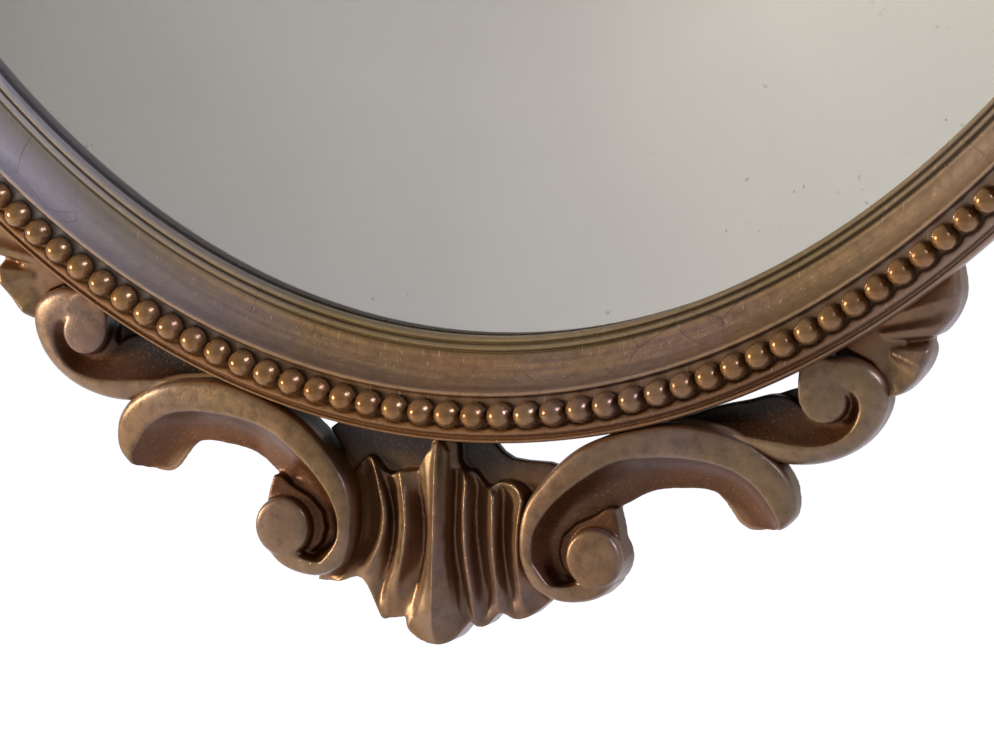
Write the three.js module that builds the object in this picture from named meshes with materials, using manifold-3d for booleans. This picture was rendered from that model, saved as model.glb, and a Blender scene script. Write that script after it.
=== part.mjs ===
// Oval wall mirror in a carved and gilt frame. A cove moulding with a course of beads holds the
// plate, and a pierced crest and apron of shell, scrolls and leaves stand outside it.
//
// Millimetres, +Z up, the front looks towards -Y and the wall is at +Y. The origin is on the
// frame's flat back, at the hanger. Heights are measured from that flat back towards the viewer.
// Across the moulding, a place is given as its distance outwards from the line of the beads.
import * as THREE from 'three';
import { mergeVertices } from 'three/addons/utils/BufferGeometryUtils.js';
import Module from 'manifold-3d';

const wasm = await Module();
wasm.setup();

// ---- driving dimensions -----------------------------------------------------------------
const sightWidth = 508; // width of the plate that shows
const sightHeight = 762; // height of the plate that shows
const ovalSteps = 72; // straight facets round the oval

const coveInset = 19.4; // sight edge to the line of the beads
const edgeReach = 8; // line of the beads to the outer edge
const backReach = 3.5; // line of the beads to the outer edge of the flat back
const edgeFoot = 13.5; // height at which the outer side starts to slope in
const edgeCrown = 17.6; // top of the round outer edge
const rebateWidth = 7; // how far the rebate goes under the sight edge
const rebateDepth = 6.5; // flat back to the underside of the sight edge
const sightRoll = 2.4; // width of the small roll on the sight edge
const sightLip = 2.6; // thickness of the lip that holds the plate
const coveFoot = 9.9; // height at which the cove starts
const coveHead = 19.2; // height of the fillet on top of the cove
const coveRun = 9; // width of the cove
const coveFacets = 4;
const filletWidth = 1;
const channelFloor = 18; // level that the beads lie on

const beadCount = 280;
const beadWidth = 6.8;
const beadHeight = 5.4;
const beadNeck = 0.36; // width of the neck between two beads, as a share of a bead
const beadLengths = 4; // lengths in which the course is laid

const glassThickness = 3;
const silverThickness = 0.2;
const boardThickness = 3;
const plateClearance = 0.5; // round the edge of the plate and of the board
const fitGap = 0.3; // between two pieces that meet

const bodyDepth = 22; // deeper than any carved piece, for the tools that cut

const buttonLength = 27;
const buttonWidth = 9;
const buttonThickness = 1.6;
const buttonSpread = 47; // degrees from the foot and the head of the oval to each button
const screwRadius = 1.4;
const screwHeadRadius = 3;
const screwHeadHeight = 1.6;
const screwLength = 11;
const screwSides = 8;
const roundSides = 12;

const plateLength = 46;
const plateWidth = 11;
const plateThickness = 1.2;
const plateScrewPitch = 32;
const eyeWidth = 5;
const eyeWall = 0.9;
const ringRadius = 11; // middle of the ring's wire
const ringWire = 1.3; // radius of the ring's wire
const padRadius = 6;
const padAngle = 21; // degrees from the foot of the oval to each wall pad

// ---- the oval -----------------------------------------------------------------------------
const ovalA = sightWidth / 2 + coveInset; // half width of the line of the beads
const ovalB = sightHeight / 2 + coveInset; // half height
const beadPitch = ovalLength(0) / beadCount;
const backMiddle = (backReach - coveInset + rebateWidth) / 2; // middle of the frame's flat back
const hangHeight = ovalB + backMiddle; // hanger above the middle of the oval

// Angle 0 is the foot of the oval, and it grows towards +X. The result is x and z.
function ovalPoint(angle, outwards) {
  const nx = ovalB * Math.sin(angle);
  const nz = -ovalA * Math.cos(angle);
  const n = Math.hypot(nx, nz);
  return [
    ovalA * Math.sin(angle) + outwards * nx / n,
    -ovalB * Math.cos(angle) + outwards * nz / n,
  ];
}

function ovalLength(outwards) {
  const steps = 2000;
  let length = 0;
  let last = ovalPoint(0, outwards);
  for (let i = 1; i <= steps; i++) {
    const next = ovalPoint(2 * Math.PI * i / steps, outwards);
    length += Math.hypot(next[0] - last[0], next[1] - last[1]);
    last = next;
  }
  return length;
}

// A ruler bent round the oval: it turns a length along the line into an angle.
function ovalRuler(outwards) {
  const steps = 4000;
  const marks = [0];
  let last = ovalPoint(0, outwards);
  for (let i = 1; i <= steps; i++) {
    const next = ovalPoint(2 * Math.PI * i / steps, outwards);
    marks.push(marks[i - 1] + Math.hypot(next[0] - last[0], next[1] - last[1]));
    last = next;
  }
  const whole = marks[steps];
  return (length) => {
    const turns = Math.floor(length / whole);
    const rest = length - turns * whole;
    let low = 0;
    let high = steps;
    while (high - low > 1) {
      const middle = (low + high) >> 1;
      if (marks[middle] > rest) high = middle;
      else low = middle;
    }
    const part = (rest - marks[low]) / (marks[high] - marks[low]);
    return 2 * Math.PI * (turns + (low + part) / steps);
  };
}

const edgeAngle = ovalRuler(edgeReach);
const beadAngle = ovalRuler(0);

// A place outside the ring: so far along its outer edge from the foot, and so far outwards.
function besideEdge([along, out], height = 0) {
  const [x, z] = ovalPoint(edgeAngle(along), edgeReach + out);
  return new THREE.Vector3(x, -height, z);
}

// A place below the foot of the ring, from its lowest point: so far aside and so far down.
function belowFoot(aside, down, height = 0) {
  return new THREE.Vector3(aside, -height, -ovalB - edgeReach - down);
}

// ---- closed bodies ------------------------------------------------------------------------
// Joins equal corners, drops triangles that have no area and turns the faces outwards.
function closed(geometry) {
  let body = geometry.index ? geometry.toNonIndexed() : geometry.clone();
  for (const name of Object.keys(body.attributes)) {
    if (name !== 'position') body.deleteAttribute(name);
  }
  body = mergeVertices(body, 1e-4);
  const kept = [];
  const index = body.index.array;
  for (let i = 0; i < index.length; i += 3) {
    const [a, b, c] = [index[i], index[i + 1], index[i + 2]];
    if (a !== b && b !== c && c !== a) kept.push(a, b, c);
  }
  body.setIndex(kept);
  return volume(body) < 0 ? turned(body) : body;
}

function volume(body) {
  const p = new THREE.Vector3();
  const q = new THREE.Vector3();
  const r = new THREE.Vector3();
  const index = body.index.array;
  const at = body.attributes.position;
  let sum = 0;
  for (let i = 0; i < index.length; i += 3) {
    p.fromBufferAttribute(at, index[i]);
    q.fromBufferAttribute(at, index[i + 1]);
    r.fromBufferAttribute(at, index[i + 2]);
    sum += p.dot(q.cross(r));
  }
  return sum / 6;
}

function turned(body) {
  const index = Array.from(body.index.array);
  for (let i = 0; i < index.length; i += 3) {
    [index[i], index[i + 1]] = [index[i + 1], index[i]];
  }
  body.setIndex(index);
  return body;
}

// A copy seen in a mirror, on the other side of the middle (x) or at the other end (z).
function mirrored(body, axis) {
  const copy = body.clone();
  copy.scale(axis === 'x' ? -1 : 1, 1, axis === 'z' ? -1 : 1);
  return closed(copy);
}

function solid(geometry) {
  const body = closed(geometry);
  return new wasm.Manifold(new wasm.Mesh({
    numProp: 3,
    vertProperties: new Float32Array(body.attributes.position.array),
    triVerts: new Uint32Array(body.index.array),
  }));
}

function shapeOf(manifold) {
  const mesh = manifold.getMesh();
  const body = new THREE.BufferGeometry();
  body.setAttribute('position', new THREE.BufferAttribute(mesh.vertProperties, 3));
  body.setIndex(Array.from(mesh.triVerts));
  return closed(body);
}

function fromGrid(rings, capped) {
  const points = [];
  const count = rings[0].length;
  const quad = (a, b, c, d) => points.push(a, b, c, a, c, d);
  const rounds = capped ? rings.length - 1 : rings.length;
  for (let i = 0; i < rounds; i++) {
    const ring = rings[i];
    const next = rings[(i + 1) % rings.length];
    for (let j = 0; j < count; j++) {
      quad(ring[j], ring[(j + 1) % count], next[(j + 1) % count], next[j]);
    }
  }
  return points;
}

// A bar whose section changes along it: rings of points, closed by flat ends. Each section is
// also given flat, as pairs, so that a hollow one is closed rightly too.
function loft(sections, flats) {
  const points = fromGrid(sections, true);
  const close = (ring, flat, backwards) => {
    const outline = flat.map(([u, v]) => new THREE.Vector2(u, v));
    for (const [a, b, c] of THREE.ShapeUtils.triangulateShape(outline, [])) {
      points.push(...(backwards ? [ring[a], ring[c], ring[b]] : [ring[a], ring[b], ring[c]]));
    }
  };
  const last = sections.length - 1;
  const forwards = THREE.ShapeUtils.isClockWise(flats[0].map(([u, v]) => new THREE.Vector2(u, v)));
  close(sections[0], flats[0], !forwards);
  close(sections[last], flats[last], forwards);
  return closed(new THREE.BufferGeometry().setFromPoints(points));
}

// A relief over a net of lines: the front follows the net, and the back is flat.
function relief(lines, back) {
  const points = [];
  const quad = (a, b, c, d) => points.push(a, b, c, a, c, d);
  const flat = (p) => new THREE.Vector3(p.x, -back, p.z);
  const rows = lines[0].length;
  for (let i = 0; i + 1 < lines.length; i++) {
    const [here, next] = [lines[i], lines[i + 1]];
    for (let j = 0; j + 1 < rows; j++) {
      quad(here[j], next[j], next[j + 1], here[j + 1]);
      quad(flat(here[j]), flat(here[j + 1]), flat(next[j + 1]), flat(next[j]));
    }
    quad(here[0], flat(here[0]), flat(next[0]), next[0]);
    quad(here[rows - 1], next[rows - 1], flat(next[rows - 1]), flat(here[rows - 1]));
  }
  for (const [line, out] of [[lines[0], false], [lines[lines.length - 1], true]]) {
    for (let j = 0; j + 1 < rows; j++) {
      const side = [line[j], line[j + 1], flat(line[j + 1]), flat(line[j])];
      quad(...(out ? side.reverse() : side));
    }
  }
  return closed(new THREE.BufferGeometry().setFromPoints(points));
}

// ---- tools that work round the oval -----------------------------------------------------------
// A section turned round the oval: a lathe turns it, and the round is then bent to the oval.
function turnedRound(section) {
  const lathe = 1000;
  const outline = [...section, section[0]];
  const round = new THREE.LatheGeometry(
    outline.map(([out, height]) => new THREE.Vector2(lathe + out, height)), ovalSteps);
  const at = round.attributes.position;
  for (let i = 0; i < at.count; i++) {
    const out = Math.hypot(at.getX(i), at.getZ(i)) - lathe;
    const angle = Math.atan2(at.getX(i), at.getZ(i));
    const [x, z] = ovalPoint(angle, out);
    at.setXYZ(i, x, -at.getY(i), z);
  }
  return closed(round);
}

function ovalPlate(outwards, thickness, height) {
  const outline = new THREE.Shape();
  for (let i = 0; i < ovalSteps; i++) {
    const [x, z] = ovalPoint(2 * Math.PI * i / ovalSteps, outwards);
    if (i === 0) outline.moveTo(x, z);
    else outline.lineTo(x, z);
  }
  return standing(outline, thickness, height);
}

// An outline drawn in x and z, made thick from a height towards the viewer.
function standing(outline, thickness, height) {
  const plate = new THREE.ExtrudeGeometry(outline, {
    depth: thickness, bevelEnabled: false, curveSegments: roundSides / 3,
  });
  plate.rotateX(Math.PI / 2);
  plate.translate(0, -height, 0);
  return closed(plate);
}

// A round piece turned on an axis that points from the wall to the viewer.
function turnedPiece(section, x, z, sides = roundSides) {
  const piece = new THREE.LatheGeometry(
    section.map(([radius, height]) => new THREE.Vector2(radius, height)), sides);
  piece.rotateX(Math.PI / 2);
  const at = piece.attributes.position;
  for (let i = 0; i < at.count; i++) at.setXYZ(i, at.getX(i) + x, -at.getZ(i), at.getY(i) + z);
  return closed(piece);
}

// ---- frame ----------------------------------------------------------------------------------
const sightEdge = -coveInset;
const rebateEdge = sightEdge + rebateWidth;
const lipTop = rebateDepth + sightLip;
const coveStart = -(edgeReach + coveRun) + 2; // inner end of the cove
const coveEnd = coveStart + coveRun;
const channelEdge = beadWidth / 2 + 1;

function frameSection() {
  const section = [
    [rebateEdge, 0],
    [rebateEdge, rebateDepth],
    [sightEdge, rebateDepth],
    [sightEdge, lipTop],
    [sightEdge + sightRoll * 0.3, lipTop + sightRoll * 0.35],
    [sightEdge + sightRoll * 0.75, lipTop + sightRoll * 0.3],
    [sightEdge + sightRoll, lipTop - 0.3],
    [coveStart - 1.2, coveFoot - 0.1],
  ];
  for (let i = 0; i <= coveFacets; i++) {
    const turn = Math.PI / 2 * i / coveFacets;
    section.push([
      coveStart + coveRun * Math.sin(turn) ** 0.9,
      coveFoot + (coveHead - coveFoot) * (1 - Math.cos(turn)),
    ]);
  }
  section.push(
    [coveEnd + filletWidth, coveHead],
    [-channelEdge, channelFloor],
    [channelEdge, channelFloor],
    [channelEdge + 0.5, channelFloor - 1.1],
    [edgeReach - 1.9, edgeCrown],
    [edgeReach - 0.4, edgeCrown - 0.7],
    [edgeReach, edgeFoot],
    [backReach, 0],
  );
  return section;
}

// What the carved pieces have to leave free: the ring, with a gap round its outer side.
function ringSpace() {
  const inner = rebateEdge - edgeReach;
  return solid(turnedRound([
    [inner, -bodyDepth],
    [backReach + fitGap, -bodyDepth],
    [backReach + fitGap, 0],
    [edgeReach + fitGap, edgeFoot],
    [edgeReach + fitGap, bodyDepth * 2],
    [inner, bodyDepth * 2],
  ]));
}

// ---- bead course ------------------------------------------------------------------------------
// One length of the course: a bar that narrows to a neck between beads, laid on the channel.
function beadCourse(which) {
  const each = beadCount / beadLengths;
  const sections = [];
  const flats = [];
  const stations = [[0, beadNeck], [0.27, 1], [0.73, 1]];
  const add = (along, share) => {
    const angle = beadAngle((along + beadPitch * beadCount) % (beadPitch * beadCount));
    const half = beadWidth / 2 * share;
    const crown = channelFloor + fitGap + (beadHeight - fitGap) * share;
    const base = channelFloor + fitGap;
    const flat = [[-half, base], [0, crown], [half, base]];
    flats.push(flat);
    sections.push(flat.map(([out, height]) => {
      const [x, z] = ovalPoint(angle, out);
      return new THREE.Vector3(x, -height, z);
    }));
  };
  const start = which * each * beadPitch;
  for (let i = 0; i < each; i++) {
    for (const [part, share] of stations) {
      const trim = i === 0 && part === 0 ? fitGap / 2 : 0;
      add(start + (i + part) * beadPitch + trim, share);
    }
  }
  add(start + each * beadPitch - fitGap / 2, beadNeck);
  return loft(sections, flats);
}

// ---- carved pieces ----------------------------------------------------------------------------
// A carved band follows its crest line. A station gives the crest's place beside the ring's
// edge, the width on the outer and on the inner side of the crest, and the heights of the crest
// and of the back.
function carvedBand(stations, section, steps, grow = 0) {
  const crest = new THREE.CatmullRomCurve3(
    stations.map(({ at }) => besideEdge(at)), false, 'centripetal');
  const rings = [];
  const flats = [];
  for (let i = 0; i <= steps; i++) {
    const t = i / steps;
    const point = crest.getPoint(t);
    const tangent = crest.getTangent(t);
    const outer = new THREE.Vector3(tangent.z, 0, -tangent.x).normalize();
    const size = between(stations, t);
    const flat = section(size.outer + grow, size.inner + grow, size.height, size.back);
    flats.push(flat);
    rings.push(flat.map(([out, height]) => new THREE.Vector3(
      point.x + outer.x * out, -height, point.z + outer.z * out)));
  }
  return loft(rings, flats);
}

function between(stations, t) {
  const place = t * (stations.length - 1);
  const low = Math.min(Math.floor(place), stations.length - 2);
  const mix = (key) => THREE.MathUtils.lerp(
    stations[low][key], stations[low + 1][key], place - low);
  return { outer: mix('outer'), inner: mix('inner'), height: mix('height'), back: mix('back') };
}

// The large C scroll, from its tip over the arch and down into the curl beside the shell.
const scrollStations = [
  { at: [82, 33.4], outer: 2.4, inner: 6, height: 10.6, back: 4 },
  { at: [83.8, 29.2], outer: 6.6, inner: 8.6, height: 11.4, back: 4 },
  { at: [82.8, 22.9], outer: 8.2, inner: 10, height: 12, back: 4 },
  { at: [79.7, 16.7], outer: 8, inner: 10.4, height: 13, back: 4.2 },
  { at: [72, 10.2], outer: 7.8, inner: 8.4, height: 14.5, back: 4.6 },
  { at: [63, 6.5], outer: 7.4, inner: 8, height: 15.6, back: 5 },
  { at: [53.2, 5.5], outer: 6.4, inner: 8.4, height: 16.4, back: 5.6 },
  { at: [44.2, 7.6], outer: 5.8, inner: 9, height: 17, back: 6.2 },
  { at: [35.5, 12], outer: 5.4, inner: 8, height: 17.6, back: 6.8 },
  { at: [28.5, 17.9], outer: 4.8, inner: 6.4, height: 18.4, back: 7.2 },
  { at: [24.8, 24.4], outer: 4, inner: 5.6, height: 19, back: 7.4 },
  { at: [24.9, 30], outer: 3.8, inner: 5, height: 19, back: 7.4 },
  { at: [27.7, 34.9], outer: 3.8, inner: 4.4, height: 18.6, back: 7.4 },
  { at: [32, 37.9], outer: 3.8, inner: 3.4, height: 18, back: 7.4 },
  { at: [37.1, 38.2], outer: 3.8, inner: 2, height: 17, back: 7.4 },
  { at: [40.6, 37.6], outer: 3.2, inner: 1.4, height: 15.6, back: 7.4 },
];
const scrollSteps = 19;
const scrollCove = 6; // how deep the cove of the scroll is below its crest

// Raised band, sharp crest, and a cove that falls to the inner side.
function scrollSection(outer, inner, height, back) {
  return [
    [outer, back],
    [outer, height - outer * 0.5],
    [outer * 0.65, height - outer * 0.08],
    [0, height - 0.4],
    [-inner * 0.3, height - scrollCove * 0.55],
    [-inner * 0.7, height - scrollCove * 0.88],
    [-inner, height - scrollCove],
    [-inner, back],
  ];
}

const tipDisc = { at: [81.6, 23.8], radius: 8.4, height: 7.6, back: 4 };
const curlDisc = { at: [35.2, 28.9], radius: 12.4, height: 12, back: 7.4 };
const curlBoss = { at: [39.2, 31.6], radius: 7.8, height: 18, back: 7.4 };

// The small scroll, from its thin arm between ring and C scroll round to its boss.
const armStations = [
  { at: [70.7, 1.6], outer: 0.9, inner: 1.2, height: 12.6, back: 4 },
  { at: [79.6, 6.2], outer: 2.4, inner: 4, height: 12.8, back: 3.6 },
  { at: [88.1, 11.2], outer: 4.4, inner: 7, height: 13, back: 3.2 },
  { at: [96.3, 16.3], outer: 5.6, inner: 8, height: 13, back: 3 },
  { at: [102.5, 18.6], outer: 6.4, inner: 6, height: 12.8, back: 3 },
  { at: [107.6, 18.3], outer: 7.2, inner: 5, height: 12.6, back: 3 },
  { at: [111.6, 16], outer: 7.8, inner: 4, height: 12.4, back: 3 },
  { at: [114.1, 12.2], outer: 8.2, inner: 3.4, height: 12.2, back: 3 },
  { at: [114.9, 6.8], outer: 7, inner: 3.4, height: 12, back: 3 },
  { at: [112.2, 1.7], outer: 3.4, inner: 3.4, height: 12, back: 3 },
];
const armSteps = 13;

// A face that falls gently to the boss, and a cove towards the outer side.
function armSection(outer, inner, height, back) {
  return [
    [outer, back],
    [outer, height - outer * 0.8],
    [outer * 0.5, height - outer * 0.32],
    [0, height],
    [-inner * 0.5, height - 0.6],
    [-inner, height - 2.4],
    [-inner, back],
  ];
}

const armDisc = { at: [107.3, 8.2], radius: 8.6, height: 8.4, back: 3 };
const armBoss = { at: [106.6, 7.4], radius: 6.3, height: 14, back: 3 };

function disc({ at, radius, height, back }) {
  const { x, z } = besideEdge(at);
  return turnedPiece([[0, back], [radius, back], [radius, height], [0, height]], x, z);
}

function boss({ at, radius, height, back }) {
  const { x, z } = besideEdge(at);
  const shoulder = radius * 0.28;
  return turnedPiece([
    [0, back], [radius, back], [radius, height - shoulder],
    [radius * 0.8, height - shoulder * 0.3], [0, height],
  ], x, z);
}

function scrollBody() {
  return solid(carvedBand(scrollStations, scrollSection, scrollSteps))
    .add(solid(disc(tipDisc)))
    .add(solid(disc(curlDisc)))
    .add(solid(boss(curlBoss)));
}

function armBody() {
  return solid(carvedBand(armStations, armSection, armSteps))
    .add(solid(disc(armDisc)))
    .add(solid(boss(armBoss)));
}

// The space that a carved piece takes as seen from the front, with a gap round it.
function throughShadow(stations, rounds, steps) {
  const deep = stations.map((station) => ({ ...station, height: bodyDepth * 2, back: -bodyDepth }));
  const wall = (outer, inner, height, back) => [
    [outer, back], [outer, height], [-inner, height], [-inner, back]];
  return rounds.reduce((space, round) => space.add(solid(disc({
    ...round, radius: round.radius + fitGap, height: bodyDepth * 2, back: -bodyDepth,
  }))), solid(carvedBand(deep, wall, steps, fitGap)));
}

// The fluted shell: lines run from its top down to its scalloped foot. Each line gives its
// distance from the middle at the top, the waist and the foot, how far below the ring its top
// and its foot are, and its height at the same three places.
const shellLines = [
  { aside: [0, 0, 0], top: 0, down: 55.1, height: [16, 18.4, 19.6] },
  { aside: [2.8, 2.6, 5.4], top: 1.6, down: 54, height: [13, 16, 18] },
  { aside: [5, 6, 9.8], top: 4, down: 48, height: [10.4, 13.6, 14] },
  { aside: [7.4, 8.5, 12.6], top: 7, down: 49, height: [10, 18, 17] },
  { aside: [11, 11.4, 16.6], top: 8, down: 48.2, height: [8.8, 15.4, 15.6] },
  { aside: [13.6, 13.2, 19.8], top: 9, down: 43, height: [8.2, 13.4, 13.6] },
  { aside: [17, 15.2, 21.6], top: 9.6, down: 43.4, height: [8.8, 17.6, 16.4] },
  { aside: [20.6, 19.2, 24.6], top: 10, down: 43.6, height: [8.6, 13.6, 14.4] },
  { aside: [24.5, 22, 27.6], top: 10, down: 43, height: [8.8, 16.8, 15.2] },
  { aside: [28, 26, 33], top: 12, down: 38.4, height: [8.2, 12.4, 11.4] },
];
const shellRows = 6;
const shellBack = 6.4;
const shellGround = { half: 26, top: -6, edge: 5, bottom: 22, height: 9.4 }; // flat ground behind them

function shellLine({ aside, top: start, down, height }, side) {
  const line = [];
  for (let j = 0; j <= shellRows; j++) {
    const t = j / shellRows;
    const curve = ([top, waist, foot]) => top * (1 - t) * (1 - 2 * t)
      + waist * 4 * t * (1 - t) + foot * t * (2 * t - 1);
    line.push(belowFoot(side * curve(aside),
      THREE.MathUtils.lerp(start, down, t), curve(height)));
  }
  return line;
}

function shellBody() {
  const lines = [
    ...shellLines.slice(1).reverse().map((line) => shellLine(line, -1)),
    ...shellLines.map((line) => shellLine(line, 1)),
  ];
  const { half, top, edge, bottom, height } = shellGround;
  const ground = new THREE.Shape();
  const high = belowFoot(0, top).z;
  const low = belowFoot(0, bottom).z;
  const side = belowFoot(0, edge).z;
  ground.moveTo(-half, low);
  ground.lineTo(half, low);
  ground.lineTo(half, side);
  ground.quadraticCurveTo(half * 0.5, side, half * 0.4, high);
  ground.lineTo(-half * 0.4, high);
  ground.quadraticCurveTo(-half * 0.5, side, -half, side);
  return solid(relief(lines, shellBack))
    .add(solid(standing(ground, height - shellBack, shellBack)));
}

// The end leaf: lines fan out from its root under the ring's edge to its lobed rim.
const leafLines = [
  { root: [133, -6], rim: [153.6, -2.5], height: [9, 9.5] },
  { root: [131, -3], rim: [151, 2.4], height: [9.4, 11.8] },
  { root: [129.5, -1], rim: [147.4, 5.2], height: [9, 9.8] },
  { root: [128, 1], rim: [144, 7.6], height: [9.4, 11.8] },
  { root: [126.5, 2.6], rim: [138.6, 8.8], height: [8.6, 8] },
  { root: [124.5, 3.6], rim: [136, 13.8], height: [9.2, 11.8] },
  { root: [121, 3.4], rim: [130.4, 16.6], height: [8.6, 9.4] },
  { root: [112, 2], rim: [122, 15.8], height: [9.4, 10.4] },
];
const leafRows = 3;
const leafBack = 3;

function leafBody() {
  return solid(relief(leafLines.map(({ root, rim, height }) => {
    const line = [];
    for (let j = 0; j <= leafRows; j++) {
      const t = j / leafRows;
      const place = [0, 1].map((k) => THREE.MathUtils.lerp(root[k], rim[k], t));
      line.push(besideEdge(place, THREE.MathUtils.lerp(height[0], height[1], t ** 0.6)));
    }
    return line;
  }), leafBack));
}

// ---- hardware ---------------------------------------------------------------------------------
const screwTop = (under) => [
  [0, -under - screwHeadHeight],
  [screwHeadRadius * 0.6, -under - screwHeadHeight * 0.85],
  [screwHeadRadius, -under - screwHeadHeight * 0.2],
  [screwHeadRadius, -under],
  [screwRadius, -under],
];

function screw(x, z, under) {
  return turnedPiece([
    ...screwTop(under), [screwRadius, screwLength - 3], [0, screwLength],
  ], x, z, screwSides);
}

function screwHole(x, z) {
  const radius = screwRadius + fitGap;
  return solid(turnedPiece([
    [0, -bodyDepth], [radius, -bodyDepth], [radius, screwLength - 2.6], [0, screwLength + 0.6],
  ], x, z, screwSides));
}

const buttonUnder = fitGap + buttonThickness + fitGap;
const buttonAngles = [1, -1].flatMap((side) => [buttonSpread, 180 - buttonSpread]
  .map((degrees) => side * THREE.MathUtils.degToRad(degrees)));

// A turn button lies across the edge of the board, on a pivot screw in the frame.
function turnButton(angle) {
  const half = buttonWidth / 2;
  const reach = buttonLength - 2 * half;
  const outline = new THREE.Shape();
  outline.moveTo(0, -half);
  outline.absarc(reach, 0, half, -Math.PI / 2, Math.PI / 2, false);
  outline.absarc(0, 0, half, Math.PI / 2, 3 * Math.PI / 2, false);
  const hole = new THREE.Path();
  hole.absarc(0, 0, screwRadius + fitGap, 0, 2 * Math.PI, true);
  outline.holes.push(hole);
  const button = standing(outline, buttonThickness, -fitGap - buttonThickness);
  const [x, z] = ovalPoint(angle, backMiddle);
  const [xIn, zIn] = ovalPoint(angle, backMiddle - 1);
  button.rotateY(-Math.atan2(zIn - z, xIn - x));
  button.translate(x, 0, z);
  return closed(button);
}

const eyeHole = ringWire + fitGap + (ringRadius - Math.sqrt(ringRadius ** 2 - (eyeWidth / 2) ** 2));
const eyeOut = plateThickness + eyeWall + eyeHole; // ring's pivot behind the frame's back
const padThickness = eyeOut + ringWire + fitGap;

// The hanger plate: a bar with a hole for a screw at each end and an eye on its middle.
function hangerPlate() {
  const half = plateWidth / 2;
  const reach = plateLength / 2 - half;
  const outline = new THREE.Shape();
  outline.absarc(reach, 0, half, -Math.PI / 2, Math.PI / 2, false);
  outline.absarc(-reach, 0, half, Math.PI / 2, 3 * Math.PI / 2, false);
  for (const side of [1, -1]) {
    const hole = new THREE.Path();
    hole.absarc(side * plateScrewPitch / 2, 0, screwRadius + fitGap, 0, 2 * Math.PI, true);
    outline.holes.push(hole);
  }
  const bar = standing(outline, plateThickness, -plateThickness);
  const outside = eyeHole + eyeWall;
  const eye = new THREE.Shape();
  eye.moveTo(-outside, plateThickness / 2);
  eye.lineTo(-outside, eyeOut);
  eye.absarc(0, eyeOut, outside, Math.PI, 0, true);
  eye.lineTo(outside, plateThickness / 2);
  const bore = new THREE.Path();
  bore.absarc(0, eyeOut, eyeHole, 0, 2 * Math.PI, false);
  eye.holes.push(bore);
  const lug = new THREE.ExtrudeGeometry(eye, {
    depth: eyeWidth, bevelEnabled: false, curveSegments: roundSides / 2,
  });
  const at = lug.attributes.position;
  for (let i = 0; i < at.count; i++) {
    at.setXYZ(i, at.getZ(i) - eyeWidth / 2, at.getY(i), at.getX(i));
  }
  const plate = shapeOf(solid(bar).add(solid(lug)));
  plate.translate(0, 0, hangHeight);
  return closed(plate);
}

function hangerRing() {
  const ring = new THREE.TorusGeometry(ringRadius, ringWire, 6, 20);
  ring.rotateX(Math.PI / 2);
  ring.translate(0, eyeOut, hangHeight - ringRadius);
  return closed(ring);
}

function wallPad(side) {
  const [x, z] = ovalPoint(side * THREE.MathUtils.degToRad(padAngle), backMiddle);
  return turnedPiece([[0, 0], [padRadius, 0], [padRadius, -padThickness], [0, -padThickness]],
    x, z);
}

// ---- assembly ----------------------------------------------------------------------------------
const mirror = new THREE.Group();
const model = new THREE.Group();
model.position.set(0, 0, -hangHeight);
mirror.add(model);

const finish = {
  gilt: { color: 0x86694b, roughness: 0.42, metalness: 0.55 },
  carved: { color: 0x8f7052, roughness: 0.45, metalness: 0.55 },
  beads: { color: 0x96764f, roughness: 0.38, metalness: 0.6 },
  glass: { color: 0xcfd4d2, roughness: 0.03, metalness: 0 },
  silver: { color: 0xd6d3ce, roughness: 0.05, metalness: 1 },
  board: { color: 0xa98a62, roughness: 0.8, metalness: 0 },
  brass: { color: 0xb08d4a, roughness: 0.35, metalness: 1 },
  steel: { color: 0x8c8a86, roughness: 0.4, metalness: 1 },
  felt: { color: 0x3c3a36, roughness: 0.95, metalness: 0 },
};

function add(name, body, look) {
  const piece = new THREE.Mesh(body, new THREE.MeshStandardMaterial(finish[look]));
  piece.name = name;
  model.add(piece);
}

const buttonPlaces = buttonAngles.map((angle) => ovalPoint(angle, backMiddle));
const hangerPlaces = [1, -1].map((side) => [side * plateScrewPitch / 2, hangHeight]);

let frame = solid(turnedRound(frameSection()));
for (const [x, z] of [...buttonPlaces, ...hangerPlaces]) frame = frame.subtract(screwHole(x, z));
add('oval_frame', shapeOf(frame), 'gilt');

for (let i = 0; i < beadLengths; i++) add(`bead_course_${i + 1}`, beadCourse(i), 'beads');

const boardTop = rebateDepth - fitGap - glassThickness - silverThickness;
add('mirror_glass', ovalPlate(rebateEdge - plateClearance, glassThickness,
  boardTop + silverThickness), 'glass');
add('silver_coat', ovalPlate(rebateEdge - plateClearance, silverThickness, boardTop), 'silver');
add('backing_board', ovalPlate(rebateEdge - plateClearance, boardThickness,
  boardTop - boardThickness), 'board');

buttonAngles.forEach((angle, i) => {
  add(`turn_button_${i + 1}`, turnButton(angle), 'brass');
  add(`button_screw_${i + 1}`, screw(...buttonPlaces[i], buttonUnder), 'steel');
});
add('hanger_plate', hangerPlate(), 'brass');
add('hanger_ring', hangerRing(), 'brass');
hangerPlaces.forEach(([x, z], i) => add(`hanger_screw_${i + 1}`, screw(x, z, plateThickness), 'steel'));
add('wall_pad_right', wallPad(1), 'felt');
add('wall_pad_left', wallPad(-1), 'felt');

// The apron's right half, each piece cut to clear the ring and the piece that lies over it.
const ring = ringSpace();
const scroll = scrollBody().subtract(ring);
const scrollSpace = throughShadow(scrollStations, [tipDisc, curlDisc, curlBoss], scrollSteps);
const arm = armBody().subtract(ring).subtract(scrollSpace);
const armSpace = throughShadow(armStations, [armDisc, armBoss], armSteps);
const leaf = leafBody().subtract(ring).subtract(armSpace);
const shell = shellBody().subtract(ring).subtract(scrollSpace)
  .subtract(solid(mirrored(shapeOf(scrollSpace), 'x')));

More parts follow.
